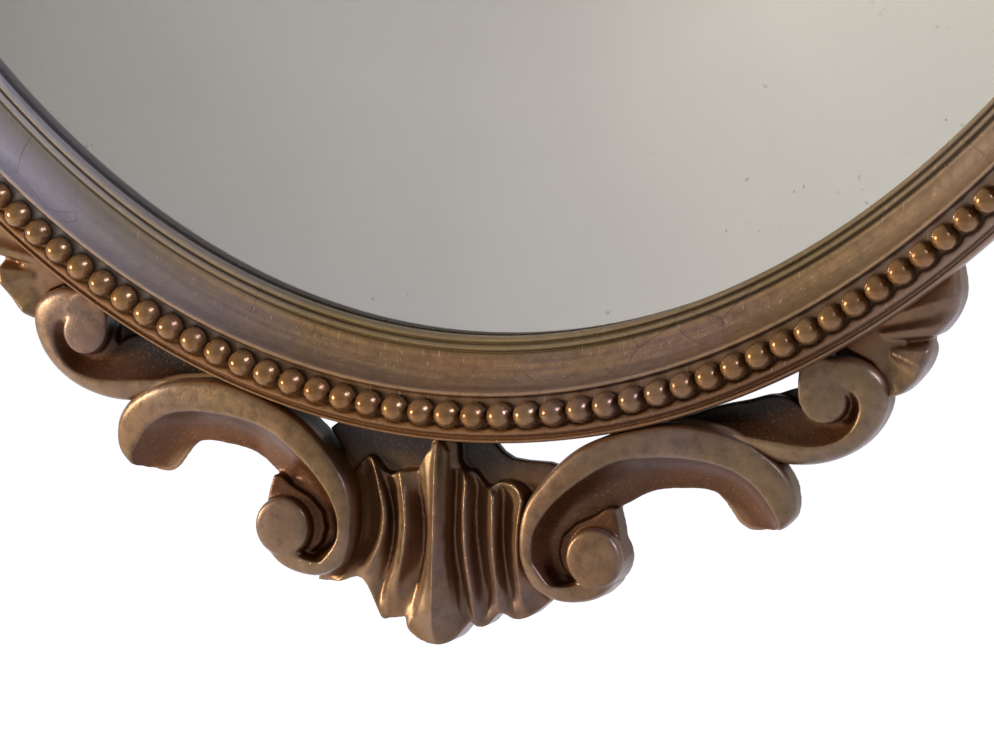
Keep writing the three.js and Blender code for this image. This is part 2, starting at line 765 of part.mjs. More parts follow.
const carved = { scroll: shapeOf(scroll), small_scroll: shapeOf(arm), leaf: shapeOf(leaf) };
for (const [place, over] of [['apron', false], ['crest', true]]) {
  const upended = (body) => (over ? mirrored(body, 'z') : body);
  add(`${place}_shell`, upended(shapeOf(shell)), 'carved');
  for (const [name, body] of Object.entries(carved)) {
    add(`${place}_${name}_right`, upended(body), 'carved');
    add(`${place}_${name}_left`, upended(mirrored(body, 'x')), 'carved');
  }
}

export default mirror;
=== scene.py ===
import math

import bmesh
import bpy
from bpy.props import (
    FloatProperty,
    FloatVectorProperty,
    IntProperty,
    PointerProperty,
)
from bpy.types import Operator, Panel, PropertyGroup
from mathutils import Matrix, Vector
from mathutils.kdtree import KDTree


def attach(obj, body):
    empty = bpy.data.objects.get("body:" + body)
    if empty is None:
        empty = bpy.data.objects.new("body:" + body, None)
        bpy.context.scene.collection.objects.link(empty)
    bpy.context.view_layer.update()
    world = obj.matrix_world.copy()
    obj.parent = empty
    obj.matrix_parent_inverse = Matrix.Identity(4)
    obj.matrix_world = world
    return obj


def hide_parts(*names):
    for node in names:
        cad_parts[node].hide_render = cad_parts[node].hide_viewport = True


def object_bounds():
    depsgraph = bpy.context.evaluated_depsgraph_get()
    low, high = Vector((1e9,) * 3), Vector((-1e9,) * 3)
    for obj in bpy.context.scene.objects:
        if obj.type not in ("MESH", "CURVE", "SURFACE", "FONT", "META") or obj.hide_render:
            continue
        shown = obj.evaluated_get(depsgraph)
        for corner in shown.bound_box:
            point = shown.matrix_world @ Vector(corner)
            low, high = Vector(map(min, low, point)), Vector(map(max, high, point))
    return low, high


bl_info = {
    "name": "Oval carved mirror",
    "version": (1, 0, 0),
    "blender": (4, 5, 0),
    "location": "View3D > Sidebar > Mirror",
    "description": "Carved and gilt pieces, finishes and studio of an oval wall mirror",
    "category": "Object",
}

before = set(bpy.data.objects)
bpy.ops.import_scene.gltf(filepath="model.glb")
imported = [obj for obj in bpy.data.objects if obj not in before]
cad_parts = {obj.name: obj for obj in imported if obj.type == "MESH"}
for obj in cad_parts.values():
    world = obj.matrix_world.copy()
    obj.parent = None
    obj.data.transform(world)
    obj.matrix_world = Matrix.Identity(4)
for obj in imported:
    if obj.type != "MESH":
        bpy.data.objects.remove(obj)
CAD_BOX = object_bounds()

MM = 0.001
HANG = 395.95  # hanger above the middle of the oval
OVAL_A = 273.4  # half width of the line of the beads
OVAL_B = 400.4  # half height of it
SENSOR = 36  # width of the camera's sensor
FOCAL_LENGTH = 7000 / 994 * SENSOR  # 7000 pixels, for a picture 994 pixels wide


# ---- helpers --------------------------------------------------------------------------------
def place(x, z, height):
    """A point from millimetres beside the oval's middle and above the flat back."""
    return Vector((x, -height, z - HANG)) * MM


def oval(angle, outwards):
    """The oval at an angle from its foot, and so far outside the line of the beads."""
    nx, nz = OVAL_B * math.sin(angle), -OVAL_A * math.cos(angle)
    n = math.hypot(nx, nz)
    return (OVAL_A * math.sin(angle) + outwards * nx / n,
            -OVAL_B * math.cos(angle) + outwards * nz / n)


def bead_angles(count):
    """Angles of evenly spaced places on the line of the beads, and the length of that line."""
    steps = 7200
    marks, last = [0.0], oval(0, 0)
    for i in range(1, steps + 1):
        here = oval(2 * math.pi * i / steps, 0)
        marks.append(marks[-1] + math.dist(here, last))
        last = here
    angles, low = [], 0
    for i in range(count):
        want = marks[-1] * i / count
        while marks[low + 1] < want:
            low += 1
        part = (want - marks[low]) / (marks[low + 1] - marks[low])
        angles.append(2 * math.pi * (low + part) / steps)
    return angles, marks[-1]


def catmull(rows, t):
    """A smooth value between rows of numbers, at t from 0 to 1."""
    at = min(max(t, 0.0), 1.0) * (len(rows) - 1)
    low = min(int(at), len(rows) - 2)
    u = at - low
    p0, p1, p2, p3 = (rows[min(max(low + k, 0), len(rows) - 1)] for k in (-1, 0, 1, 2))
    return [
        0.5 * (2 * b + (c - a) * u + (2 * a - 5 * b + 4 * c - d) * u * u
               + (3 * b - a - 3 * c + d) * u ** 3)
        for a, b, c, d in zip(p0, p1, p2, p3)
    ]


def object_from(bm, name, smooth=True):
    """Turns a finished bmesh into an object of the scene."""
    bmesh.ops.recalc_face_normals(bm, faces=bm.faces)
    mesh = bpy.data.meshes.new(name)
    for face in bm.faces:
        face.smooth = smooth
    bm.to_mesh(mesh)
    bm.free()
    piece = bpy.data.objects.new(name, mesh)
    bpy.context.scene.collection.objects.link(piece)
    return piece


def finish_piece(piece, body, slot, material, *nodes):
    """Gives a piece its finish, the body it moves with, and the CAD pieces it stands for."""
    piece.data.materials.clear()
    piece.data.materials.append(material)
    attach(piece, body)
    if nodes:
        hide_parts(*nodes)
    return piece


def loft(bm, rings):
    """Draws closed rings of points into a closed bar, by extruding each ring's edges."""
    verts = [bm.verts.new(p) for p in rings[0]]
    edges = [bm.edges.new((verts[i], verts[(i + 1) % len(verts)])) for i in range(len(verts))]
    bmesh.ops.edgeloop_fill(bm, edges=edges)
    for ring in rings[1:]:
        made = bmesh.ops.extrude_edge_only(bm, edges=edges)["geom"]
        new_edges = [e for e in made if isinstance(e, bmesh.types.BMEdge)]
        fresh = {v for v in made if isinstance(v, bmesh.types.BMVert)}
        follow = [next(e.other_vert(v) for e in v.link_edges if e.other_vert(v) in fresh)
                  for v in verts]
        for v, p in zip(follow, ring):
            v.co = p
        verts, edges = follow, [e for e in new_edges if all(v in fresh for v in e.verts)]
    bmesh.ops.edgeloop_fill(bm, edges=edges)


def turned(bm, section, x, z, steps=48):
    """A round piece spun on an axis towards the viewer; the section is radius and height."""
    verts = [bm.verts.new(place(x + r, z, h)) for r, h in section]
    edges = [bm.edges.new(pair) for pair in zip(verts, verts[1:])]
    bmesh.ops.spin(bm, geom=verts + edges, cent=place(x, z, 0), axis=(0, 1, 0),
                   angle=2 * math.pi, steps=steps, use_merge=True)
    bmesh.ops.remove_doubles(bm, verts=bm.verts, dist=1e-6)


def slab(bm, outline, back, front, bevel):
    """An outline in x and z, extruded from the back to the front with its front edge eased."""
    verts = [bm.verts.new(place(x, z, back)) for x, z in outline]
    face = bm.faces.new(verts)
    made = bmesh.ops.extrude_face_region(bm, geom=[face])["geom"]
    top = [v for v in made if isinstance(v, bmesh.types.BMVert)]
    bmesh.ops.translate(bm, verts=top, vec=(0, -(front - back) * MM, 0))
    rim = [e for e in made if isinstance(e, bmesh.types.BMEdge)]
    if bevel:
        bmesh.ops.bevel(bm, geom=rim, offset=bevel * MM, segments=3, profile=0.5,
                        affect="EDGES", material=-1)


def remeshed(parts, name):
    """Joins overlapping closed bodies into one skin, and eases the steps of its voxels."""
    joined = bmesh.new()
    for part in parts:
        bmesh.ops.recalc_face_normals(part, faces=part.faces)
        mesh = bpy.data.meshes.new("part")
        part.to_mesh(mesh)
        part.free()
        joined.from_mesh(mesh)
        bpy.data.meshes.remove(mesh)
    rough = bpy.data.meshes.new("rough")
    joined.to_mesh(rough)
    joined.free()
    carrier = bpy.data.objects.new("rough", rough)
    bpy.context.scene.collection.objects.link(carrier)
    skin = carrier.modifiers.new("Skin", "REMESH")
    skin.mode = "VOXEL"
    skin.voxel_size = bpy.context.scene.mirror_sizes.carving_grain
    skin.use_smooth_shade = True
    graph = bpy.context.evaluated_depsgraph_get()
    mesh = bpy.data.meshes.new_from_object(carrier.evaluated_get(graph), depsgraph=graph)
    bpy.data.objects.remove(carrier)
    bpy.data.meshes.remove(rough)
    bm = bmesh.new()
    bm.from_mesh(mesh)
    bpy.data.meshes.remove(mesh)
    for _ in range(2):
        bmesh.ops.smooth_vert(bm, verts=bm.verts, factor=0.5, use_axis_x=True,
                              use_axis_y=True, use_axis_z=True)
    return object_from(bm, name)


def turned_over(piece, name, axis):
    """A copy seen in a mirror: the other side of the middle (0), or the other end (2)."""
    bm = bmesh.new()
    bm.from_mesh(piece.data)
    scale = [1, 1, 1]
    scale[axis] = -1
    middle = Matrix.Translation((0, 0, HANG * MM))
    bmesh.ops.transform(bm, matrix=middle, verts=bm.verts)
    bmesh.ops.scale(bm, vec=scale, verts=bm.verts)
    bmesh.ops.transform(bm, matrix=middle.inverted(), verts=bm.verts)
    bmesh.ops.reverse_faces(bm, faces=bm.faces)
    return object_from(bm, name)


def four_of(piece, stem, material):
    """The right apron piece, its left twin, and both turned over for the crest."""
    left = turned_over(piece, f"apron_{stem}_left_carved", 0)
    upper = turned_over(piece, f"crest_{stem}_right_carved", 2)
    upper_left = turned_over(left, f"crest_{stem}_left_carved", 2)
    for made, node in ((piece, f"apron_{stem}_right"), (left, f"apron_{stem}_left"),
                       (upper, f"crest_{stem}_right"), (upper_left, f"crest_{stem}_left")):
        finish_piece(made, "mirror", "carved", material, node)


# ---- sizes and colours ----------------------------------------------------------------------
class MirrorSizes(PropertyGroup):
    """Sizes that the pieces are made to"""
    bead_count: IntProperty(
        name="Beads", description="Beads round the oval", default=280, min=40, max=600)
    bead_width: FloatProperty(
        name="Bead width", description="Width of a bead across the moulding",
        default=7.3 * MM, unit="LENGTH")
    carving_grain: FloatProperty(
        name="Carving grain", description="Finest size that the carved skins keep",
        default=0.45 * MM, unit="LENGTH")
    steps_per_bead: IntProperty(
        name="Steps per bead", description="Steps of the oval moulding beside each bead",
        default=4, min=2, max=8)
    floor_drop: FloatProperty(
        name="Floor", description="Distance from the lowest tip to the floor",
        default=0.28, unit="LENGTH")


class MirrorColours(PropertyGroup):
    """Colours that the finishes are mixed from"""
    gilt: FloatVectorProperty(
        name="Gilt", description="Bronze gilding, linear colour", subtype="COLOR",
        size=3, default=(0.116, 0.065, 0.031), min=0, max=1)
    # painted shade: the copper tint that darkens the coves, partly the warm bole there
    copper_shade: FloatVectorProperty(
        name="Copper", description="Warm bole that shows in the coves", subtype="COLOR",
        size=3, default=(0.150, 0.060, 0.018), min=0, max=1)
    plate: FloatVectorProperty(
        name="Plate", description="Tint of the old silvering", subtype="COLOR",
        size=3, default=(0.468, 0.412, 0.395), min=0, max=1)


# ---- finishes -------------------------------------------------------------------------------
WHOLE = ((0.0, 0.0), (1.0, 1.0))  # the stops of a mask that is ready as it is


def srgb(text):
    """An sRGB hex value as a linear colour."""
    parts = [int(text[i:i + 2], 16) / 255 for i in (1, 3, 5)]
    return (*[c / 12.92 if c <= 0.04045 else ((c + 0.055) / 1.055) ** 2.4 for c in parts], 1.0)


def node(tree, kind, inputs=None, out=0, stops=(), **settings):
    """Adds a shader node with its settings and links, and gives one of its outputs. An input is
    a value or another node's output, and stops are the places and shades of a colour ramp."""
    made = tree.nodes.new(f"ShaderNode{kind}")
    for key, value in settings.items():
        setattr(made, key, value)
    for key, value in (inputs or {}).items():
        if isinstance(value, bpy.types.NodeSocket):
            tree.links.new(value, made.inputs[key])
        else:
            made.inputs[key].default_value = value
    if stops:
        elements = made.color_ramp.elements
        while len(elements) < len(stops):
            elements.new(0.5)
        for element, (at, shade) in zip(elements, stops):
            element.position = at
            element.color = shade if isinstance(shade, tuple) else (shade, shade, shade, 1.0)
    return made.outputs[out] if len(made.outputs) else made


def fresh_material(name):
    """An empty material, its tree, and the place of a point on the object."""
    material = bpy.data.materials.new(name)
    material.use_nodes = True
    tree = material.node_tree
    tree.nodes.clear()
    return material, tree, node(tree, "TexCoord", out="Object")


def stained(tree, colour, layers):
    """Lays tints over a colour, each through a mask that its stops draw from a source."""
    for source, stops, tint in layers:
        mask = node(tree, "ValToRGB", {0: source}, stops=stops)
        colour = node(tree, "Mix", {0: mask, 6: colour, 7: tint}, out=2, data_type="RGBA")
    return colour


def weighed(tree, *sources, start=0.0):
    """The sum of some sources, each by its weight."""
    total = start
    for source, weight in sources:
        total = node(tree, "Math", {0: source, 1: weight, 2: total}, operation="MULTIPLY_ADD")
    return total


def masked(tree, *sources):
    """The product of masks that their stops draw from some sources."""
    total = 1.0
    for source, stops in sources:
        mask = node(tree, "ValToRGB", {0: source}, stops=stops)
        total = node(tree, "Math", {0: mask, 1: total}, operation="MULTIPLY")
    return total


def from_middle(tree, where, half_width, half_height):
    """Distance from the oval's middle, which is 1 on an oval of that width and height."""
    centred = node(tree, "Mapping", {
        "Vector": where, "Location": (0, 0, HANG / half_height),
        "Scale": (1 / (half_width * MM), 0, 1 / (half_height * MM))})
    return node(tree, "VectorMath", {0: centred}, out="Value", operation="LENGTH")


def ring_wear_and_light(tree, where, violet):
    """Layers on the moulding: browner members outside the beads and olive ones at the sight
    edge, a violet grey film with a painted sheen on one side, painted light on the other, cracks
    and scratches."""
    member = node(tree, "Attribute", out="Fac", attribute_name="member")
    outer = node(tree, "Math", {0: member, 1: 0.7}, operation="MULTIPLY", use_clamp=True)
    sight = node(tree, "Math", {0: member, 1: -0.6}, operation="MULTIPLY", use_clamp=True)
    aside = node(tree, "SeparateXYZ", {0: where}, out="X")
    # painted sheen of the cool lamp, with a violet grey film: in patches on the left side, less
    # on the outer members
    violet_film_and_sheen = masked(tree,
                  (weighed(tree, (aside, -5.0)), ((0.2, 0), (0.52, 0.4), (0.92, 0.92))),
                  (violet, ((0.3, 0.75), (0.6, 1))))
    violet_film_and_sheen = node(tree, "Math", {0: violet_film_and_sheen, 1: weighed(tree, (outer, 0.9))},
                operation="SUBTRACT", use_clamp=True)
    # fine cracks of the gesso stand in patches, and scratches from dusting are 16 mm long
    edges = node(tree, "TexVoronoi", {"Vector": where, "Scale": 60.0},
                 feature="DISTANCE_TO_EDGE")
    cracks = masked(tree, (edges, ((0.002, 1), (0.011, 0))), (violet, ((0.52, 0), (0.6, 0.6))))
    slanted = node(tree, "Mapping", {
        "Vector": where, "Rotation": (0, 0.7, 0), "Scale": (1700, 1700, 60)})
    scratch = node(tree, "TexNoise", {"Vector": slanted, "Scale": 1.0, "Detail": 1.0})
    return (
        (outer, WHOLE, srgb("#5f3c1b")),
        (sight, WHOLE, srgb("#6a6142")),
        (violet_film_and_sheen, WHOLE, srgb("#a8a49e")),
        # painted light: the right side of the moulding is paler
        (weighed(tree, (aside, 5.0)), ((0.5, 0), (0.85, 0.55)), srgb("#8f7f6c")),
        (cracks, WHOLE, srgb("#2c2018")),
        (scratch, ((0.69, 0), (0.76, 0.3)), srgb("#c6b8a6")),
    )


def carving_painted_shade(tree, where):
    """Layers on the carving: painted shade in the coves, copper where they are shallow, which is
    partly the copper ground, and near black in those of the small scrolls, partly old dirt; and
    a near black painted shadow on the ground under the ring's edge, which is also ground that no
    brush reached. The last of these is given apart, since that ground isn't metal."""
    out = from_middle(tree, where, OVAL_A + 8, OVAL_B + 8)
    aside = weighed(tree, (node(tree, "SeparateXYZ", {0: where}, out="X"), 5.0))
    low = weighed(tree, (node(tree, "SeparateXYZ", {0: where}, out="Y"), -40.0))
    # painted shadow: near black on the ground under the ring's edge, which is also ground that
    # no brush reached
    shadow_under_ring = masked(tree,
                    (weighed(tree, (out, 1.0), start=-0.5),
                     ((0.5, 1), (0.512, 0.92), (0.532, 0))),
                    (node(tree, "Math", {0: aside}, operation="ABSOLUTE"),
                     ((0.5, 1), (0.57, 0))),
                    (low, ((0.44, 1), (0.56, 0))))
    cove = node(tree, "Attribute", out="Fac", attribute_name="cove")
    return (
        # painted shade in the coves: copper where they are shallow, partly the copper ground,
        # and near black where deep in the small scrolls, partly old dirt
        (cove, ((0.08, 0), (0.4, 0.85)), srgb("#43230a")),
        (cove, ((0.62, 0), (0.95, 0.8)), srgb("#120c07")),
        (shadow_under_ring, WHOLE, srgb("#0a0604")),
    ), shadow_under_ring


def gilding(name, base, dark, light, copper_shade, moulded, hollow_shade=0.9, gleam=0.19, patches=0.6):
    """Bronze gilding rubbed over a red-brown ground on cast carving: a soft metal gloss, patches
    of olive and of violet grey, painted shade in the hollows with a copper tint that is partly
    the copper ground, painted highlights on the arrises, and small nicks."""
    material, tree, where = fresh_material(name)
    if moulded:
        # drawn out along the moulding: streaks of 70 mm by 2 mm
        along = node(tree, "UVMap", uv_map="along")
        grain_at = node(tree, "Mapping", {"Vector": along, "Scale": (14, 480, 1)})
    else:
        grain_at = node(tree, "Mapping", {"Vector": where, "Scale": (120, 120, 120)})
    apart = node(tree, "Mapping", {"Vector": where, "Location": (3.1, 1.7, 5.3)})
    # the gilding has aged in patches of 40 mm to olive or violet grey; the rag that rubbed it
    # left a mottling of 3 mm, and its grit of 0.3 mm is drawn at 0.7 mm so that it shows
    olive, violet, mottle, streaks, grit = (
        node(tree, "TexNoise", {
            "Vector": at, "Scale": scale, "Detail": detail, "Roughness": rough})
        for at, scale, detail, rough in (
            (where, 24.0, 3.0, 0.5), (apart, 20.0, 3.0, 0.5), (where, 360.0, 5.0, 0.6),
            (grain_at, 1.0, 5.0, 0.6), (where, 1500.0, 3.0, 0.6)))
    # painted shade in the hollows, which also hold the copper ground and then old dirt: a copper
    # tint, then near black where they are deepest
    hollow = node(tree, "AmbientOcclusion", {"Distance": 0.011}, out="AO", samples=8)
    # the sharp arrises, which get a painted highlight below
    arris_highlight = node(tree, "AmbientOcclusion", {"Distance": 0.0014}, out="AO", samples=8,
                 inside=True)
    colour = stained(tree, base, (
        (olive, ((0.4, 0), (0.62, patches)), srgb("#5f5338")),
        (violet, ((0.46, 0), (0.64, patches)), srgb("#584c4f")),
        (streaks, ((0.42, 0), (0.72, 0.6)), light),
        (mottle, ((0.34, 0.3), (0.54, 0)), dark),
        (hollow, ((0.42, hollow_shade), (0.86, 0)), copper_shade),
        (hollow, ((0.16, hollow_shade), (0.46, 0)), srgb("#1a0f08")),
    ))
    metal = 0.42
    if moulded:
        wear_and_painted_light = ring_wear_and_light(tree, where, violet)
    else:
        wear_and_painted_light, shadow_under_ring = carving_painted_shade(tree, where)
        # the painted shadow under the ring is given no metal gloss, since that ground isn't
        # metal
        metal = weighed(tree, (shadow_under_ring, -metal), start=metal)
    colour = stained(tree, colour, (
        *wear_and_painted_light,
        # the bronze powder in it glints in specks
        (grit, ((0.56, 0), (0.72, 0.4)), light),
        # painted highlight: the sharp arrises are paler
        (arris_highlight, ((0.3, 0.6), (0.66, 0)), srgb("#a98d6c")),
    ))
    deep = masked(tree, (hollow, ((0.16, 1), (0.46, 0))))
    gloss = weighed(tree, (mottle, 0.3), (deep, 0.35), start=gleam)
    # small nicks and dents that catch the light
    nicks = node(tree, "TexVoronoi", {"Vector": where, "Scale": 240.0, "Randomness": 1.0})
    pits = masked(tree, (nicks, ((0.03, 0), (0.1, 1))))
    height = weighed(tree, (mottle, 0.45), (grit, 0.3), (pits, 0.14), (streaks, 0.4))
    bump = node(tree, "Bump", {"Height": height, "Strength": 0.35, "Distance": 0.0004})
    surface = node(tree, "BsdfPrincipled", {
        "Base Color": colour, "Metallic": metal, "Roughness": gloss, "Normal": bump,
        "Specular IOR Level": 0.2})
    node(tree, "OutputMaterial", {"Surface": surface})
    return material


def plain_metal(name, base, dark, roughness, grain):
    """Rolled sheet or drawn wire: fine brushed grain and a brown tarnish."""
    material, tree, where = fresh_material(name)
    drawn = node(tree, "Mapping", {"Vector": where, "Scale": grain})
    brushed = node(tree, "TexNoise", {"Vector": drawn, "Scale": 1.0, "Detail": 3.0})
    tarnish = node(tree, "TexNoise", {"Vector": where, "Scale": 160.0, "Detail": 5.0})
    surface = node(tree, "BsdfPrincipled", {
        "Base Color": stained(tree, base, [(tarnish, ((0.4, 0), (0.68, 0.9)), dark)]),
        "Metallic": 1.0,
        "Roughness": weighed(tree, (tarnish, 0.25), start=roughness),
        "Normal": node(tree, "Bump", {
            "Height": brushed, "Strength": 0.25, "Distance": 0.0001})})
    node(tree, "OutputMaterial", {"Surface": surface})
    return material


def old_glass():
    """Float glass 3 mm thick: clear, with a faint green edge and a film of dust."""
    material, tree, where = fresh_material("float_glass")
    dust = node(tree, "TexNoise", {"Vector": where, "Scale": 900.0, "Detail": 4.0})
    surface = node(tree, "BsdfPrincipled", {
        "Base Color": srgb("#f8fbf8"), "IOR": 1.5, "Transmission Weight": 1.0,
        "Roughness": masked(tree, (dust, ((0.6, 0.0), (0.8, 0.07))))})
    clear = node(tree, "BsdfTransparent", {"Color": srgb("#eef2ee")})
    shadow = node(tree, "LightPath", out="Is Shadow Ray")
    mix = node(tree, "MixShader", {0: shadow, 1: surface, 2: clear})
    node(tree, "OutputMaterial", {"Surface": mix})
    return material


def silvering(tint):
    """Silver on the back of the plate: a warm grey mirror with fine foxing near its edge."""
    material, tree, where = fresh_material("old_silvering")
    spots = node(tree, "TexNoise", {
        "Vector": where, "Scale": 420.0, "Detail": 6.0, "Roughness": 0.75})
    out = from_middle(tree, where, 260, 387)
    fox = masked(tree, (spots, ((0.645, 0), (0.68, 1))), (out, ((0.8, 0), (0.985, 1))))
    # the haze on the old silver, with a painted reflection over it that is darker on one side
    # and lighter on the other
    aside = node(tree, "SeparateXYZ", {0: where}, out="X")
    haze_and_reflection = node(tree, "TexNoise", {"Vector": where, "Scale": 7.0, "Detail": 3.0})
    haze_and_reflection = weighed(tree, (haze_and_reflection, 0.3), (aside, 2.6), start=0.35)
    shade = node(tree, "ValToRGB", {0: haze_and_reflection}, stops=(
        (0.1, (*[c * 0.64 for c in tint[:3]], 1.0)), (0.5, tint),
        (0.95, (tint[0] * 1.72, tint[1] * 1.74, tint[2] * 1.62, 1.0))))
    surface = node(tree, "BsdfPrincipled", {
        "Base Color": stained(tree, shade, (
            (out, ((0.82, 0), (0.98, 0.17)), srgb("#000000")),
            (fox, WHOLE, srgb("#6b665b")))),
        "Metallic": 1.0, "Roughness": weighed(tree, (fox, 0.3), start=0.03)})
    node(tree, "OutputMaterial", {"Surface": surface})
    return material


def board_finish():
    """Thin pine backing board: planed, unpainted, with long grain and some age stain."""
    material, tree, where = fresh_material("pine_board")
    grain_at = node(tree, "Mapping", {"Vector": where, "Scale": (95, 95, 4)})
    grain = node(tree, "TexNoise", {
        "Vector": grain_at, "Scale": 1.0, "Detail": 6.0, "Distortion": 0.4})
    age = node(tree, "TexNoise", {"Vector": where, "Scale": 7.0, "Detail": 4.0})
    wood = node(tree, "ValToRGB", {0: grain}, stops=(
        (0.3, srgb("#8a6a42")), (0.55, srgb("#b18f60")), (0.8, srgb("#c7a878"))))
    surface = node(tree, "BsdfPrincipled", {
        "Base Color": stained(tree, wood, [(age, ((0.45, 0), (0.7, 0.45)), srgb("#6d5232"))]),
        "Roughness": 0.72,
        "Normal": node(tree, "Bump", {"Height": grain, "Strength": 0.3, "Distance": 0.0003})})
    node(tree, "OutputMaterial", {"Surface": surface})
    return material


def felt_finish():
    """Pressed wool felt: dull, with short fibres."""
    material, tree, where = fresh_material("wool_felt")
    fibre = node(tree, "TexNoise", {
        "Vector": where, "Scale": 1300.0, "Detail": 5.0, "Roughness": 0.7})
    surface = node(tree, "BsdfPrincipled", {
        "Base Color": node(tree, "ValToRGB", {0: fibre}, stops=(
            (0.3, srgb("#2b2925")), (0.7, srgb("#4d4a43")))),
        "Roughness": 0.95, "Sheen Weight": 0.3,
        "Normal": node(tree, "Bump", {"Height": fibre, "Strength": 0.7, "Distance": 0.0006})})
    node(tree, "OutputMaterial", {"Surface": surface})
    return material


FINISHES = {}


def finish(name):
    """Each finish is made once, when the first piece asks for it."""
    if name in FINISHES:
        return FINISHES[name]
    colours = bpy.context.scene.mirror_colours
    gilt, copper_shade = (*colours.gilt, 1.0), (*colours.copper_shade, 1.0)
    # the fourth colour of each gilding is the copper tint of the painted shade in its hollows,
    # and a number after True or False sets how strong that shade is
    if name == "moulding":
        made = gilding("gilt_moulding", (*[c * 1.3 for c in colours.gilt], 1.0),
                       srgb("#3a2a1c"), srgb("#8f7250"), srgb("#4c2f17"), True, 0.5)
    elif name == "carving":
        made = gilding("gilt_carving", gilt, srgb("#2e2119"), srgb("#7a624a"), copper_shade, False)
    elif name == "beads":
        made = gilding("gilt_beads", srgb("#6e4b26"), srgb("#472f17"), srgb("#86673b"),
                       srgb("#5a371a"), False, 0.45, 0.08, 0.25)
    elif name == "brass":
        made = plain_metal("rolled_brass", srgb("#b08d4a"), srgb("#6d5226"), 0.28,
                           (900, 900, 60))
    elif name == "steel":
        made = plain_metal("plated_steel", srgb("#a5a29c"), srgb("#5f5b54"), 0.3,
                           (700, 700, 700))
    elif name == "glass":
        made = old_glass()
    elif name == "silver":
        made = silvering((*colours.plate, 1.0))
    elif name == "board":
        made = board_finish()
    else:
        made = felt_finish()
    FINISHES[name] = made
    return made


# ---- oval moulding --------------------------------------------------------------------------
def moulding_section():
    """Distance outwards from the line of the beads, and height, from the rebate round."""
    section = [(-12.4, 0), (-12.4, 6.5), (-19.4, 6.5), (-19.4, 8.3), (-19.25, 8.9),
               (-18.9, 9.45), (-18.4, 9.65), (-17.95, 9.4), (-17.7, 8.95), (-17.55, 8.6),
               (-17.4, 8.95), (-17.15, 9.7), (-16.7, 10.25), (-16.2, 10.35), (-15.75, 10.0),
               (-15.5, 9.4), (-15.35, 9.1), (-15.15, 9.35)]
    for i in range(15):
        turn = math.pi / 2 * i / 14
        section.append((-15 + 8.9 * math.sin(turn) ** 0.92, 9.7 + 9.3 * (1 - math.cos(turn))))
    section += [(-6.0, 19.25), (-5.7, 19.4), (-5.3, 19.38), (-5.05, 19.1), (-4.9, 18.5),
                (-4.6, 18.1), (-4.1, 18.0), (3.2, 18.0), (3.7, 18.15), (4.05, 18.6),
                (4.5, 18.95), (5.0, 18.85), (5.4, 18.3), (5.75, 17.2), (6.1, 16.5),
                (6.5, 16.35), (6.75, 16.8), (7.0, 17.1), (7.4, 16.9), (7.75, 16.2),
                (7.95, 15.2), (8.0, 13.5), (7.2, 11.0), (3.9, 0.6), (3.5, 0)]
    return section


class MIRROR_OT_moulding(Operator):
    """Spin the moulding's section and bend it to the oval"""
    bl_idname = "mirror.moulding"
    bl_label = "Oval moulding"

    def execute(self, context):
        sizes = context.scene.mirror_sizes
        per = sizes.steps_per_bead
        steps = sizes.bead_count * per
        angles, length = bead_angles(steps)
        section = moulding_section()
        bm = bmesh.new()
        lathe = 1.0
        run = bm.verts.layers.float.new("run")
        wide = bm.verts.layers.float.new("wide")
        member = bm.verts.layers.float.new("member")
        verts = [bm.verts.new((0, -h * MM, -(lathe + w * MM))) for w, h in section]
        for vert, (w, _) in zip(verts, section):
            vert[wide] = w
            # 1 for the members outside the beads, -1 for those at the sight edge
            vert[member] = min(1.0, max(0.0, w - 2.5)) - min(1.0, max(0.0, -14.6 - w))
        for here, before, a, b in zip(verts[1:], verts, section[1:], section):
            here[run] = before[run] + math.dist(a, b)
        edges = [bm.edges.new((verts[i], verts[(i + 1) % len(verts)]))
                 for i in range(len(verts))]
        bmesh.ops.spin(bm, geom=verts + edges, cent=(0, 0, 0), axis=(0, -1, 0),
                       angle=2 * math.pi, steps=sizes.bead_count, use_merge=True)
        along = [e for e in bm.edges if abs(e.verts[0][run] - e.verts[1][run]) < 1e-6]
        bmesh.ops.subdivide_edges(bm, edges=along, cuts=per - 1, use_grid_fill=True)
        lay = bm.loops.layers.uv.new("along")
        for face in bm.faces:
            spots = []
            for loop in face.loops:
                co = loop.vert.co
                spots.append([math.atan2(co.x, -co.z) % (2 * math.pi), loop.vert[run]])
            if max(s[0] for s in spots) - min(s[0] for s in spots) > math.pi:
                for s in spots:
                    s[0] += 2 * math.pi if s[0] < math.pi else 0
            for loop, (turn, r) in zip(face.loops, spots):
                loop[lay].uv = (turn / (2 * math.pi) * length * MM, r * MM)
        for v in bm.verts:
            step = round(math.atan2(v.co.x, -v.co.z) / (2 * math.pi) * steps) % steps
            out = v[wide]
            if 3.0 < out < 5.2 and -v.co.y > 17.9 * MM:
                # the channel's outer edge reaches in between two beads
                beside = abs((step % per) / per - 0.5) * 2
                out -= 1.15 * beside ** 2.5 * min(1.0, (5.2 - out) / 0.9)
            x, z = oval(angles[step], out)
            v.co = place(x, z, -v.co.y / MM)
        piece = object_from(bm, "oval_moulding")
        finish_piece(piece, "mirror", "gilt", finish("moulding"), "oval_frame")
        return {"FINISHED"}


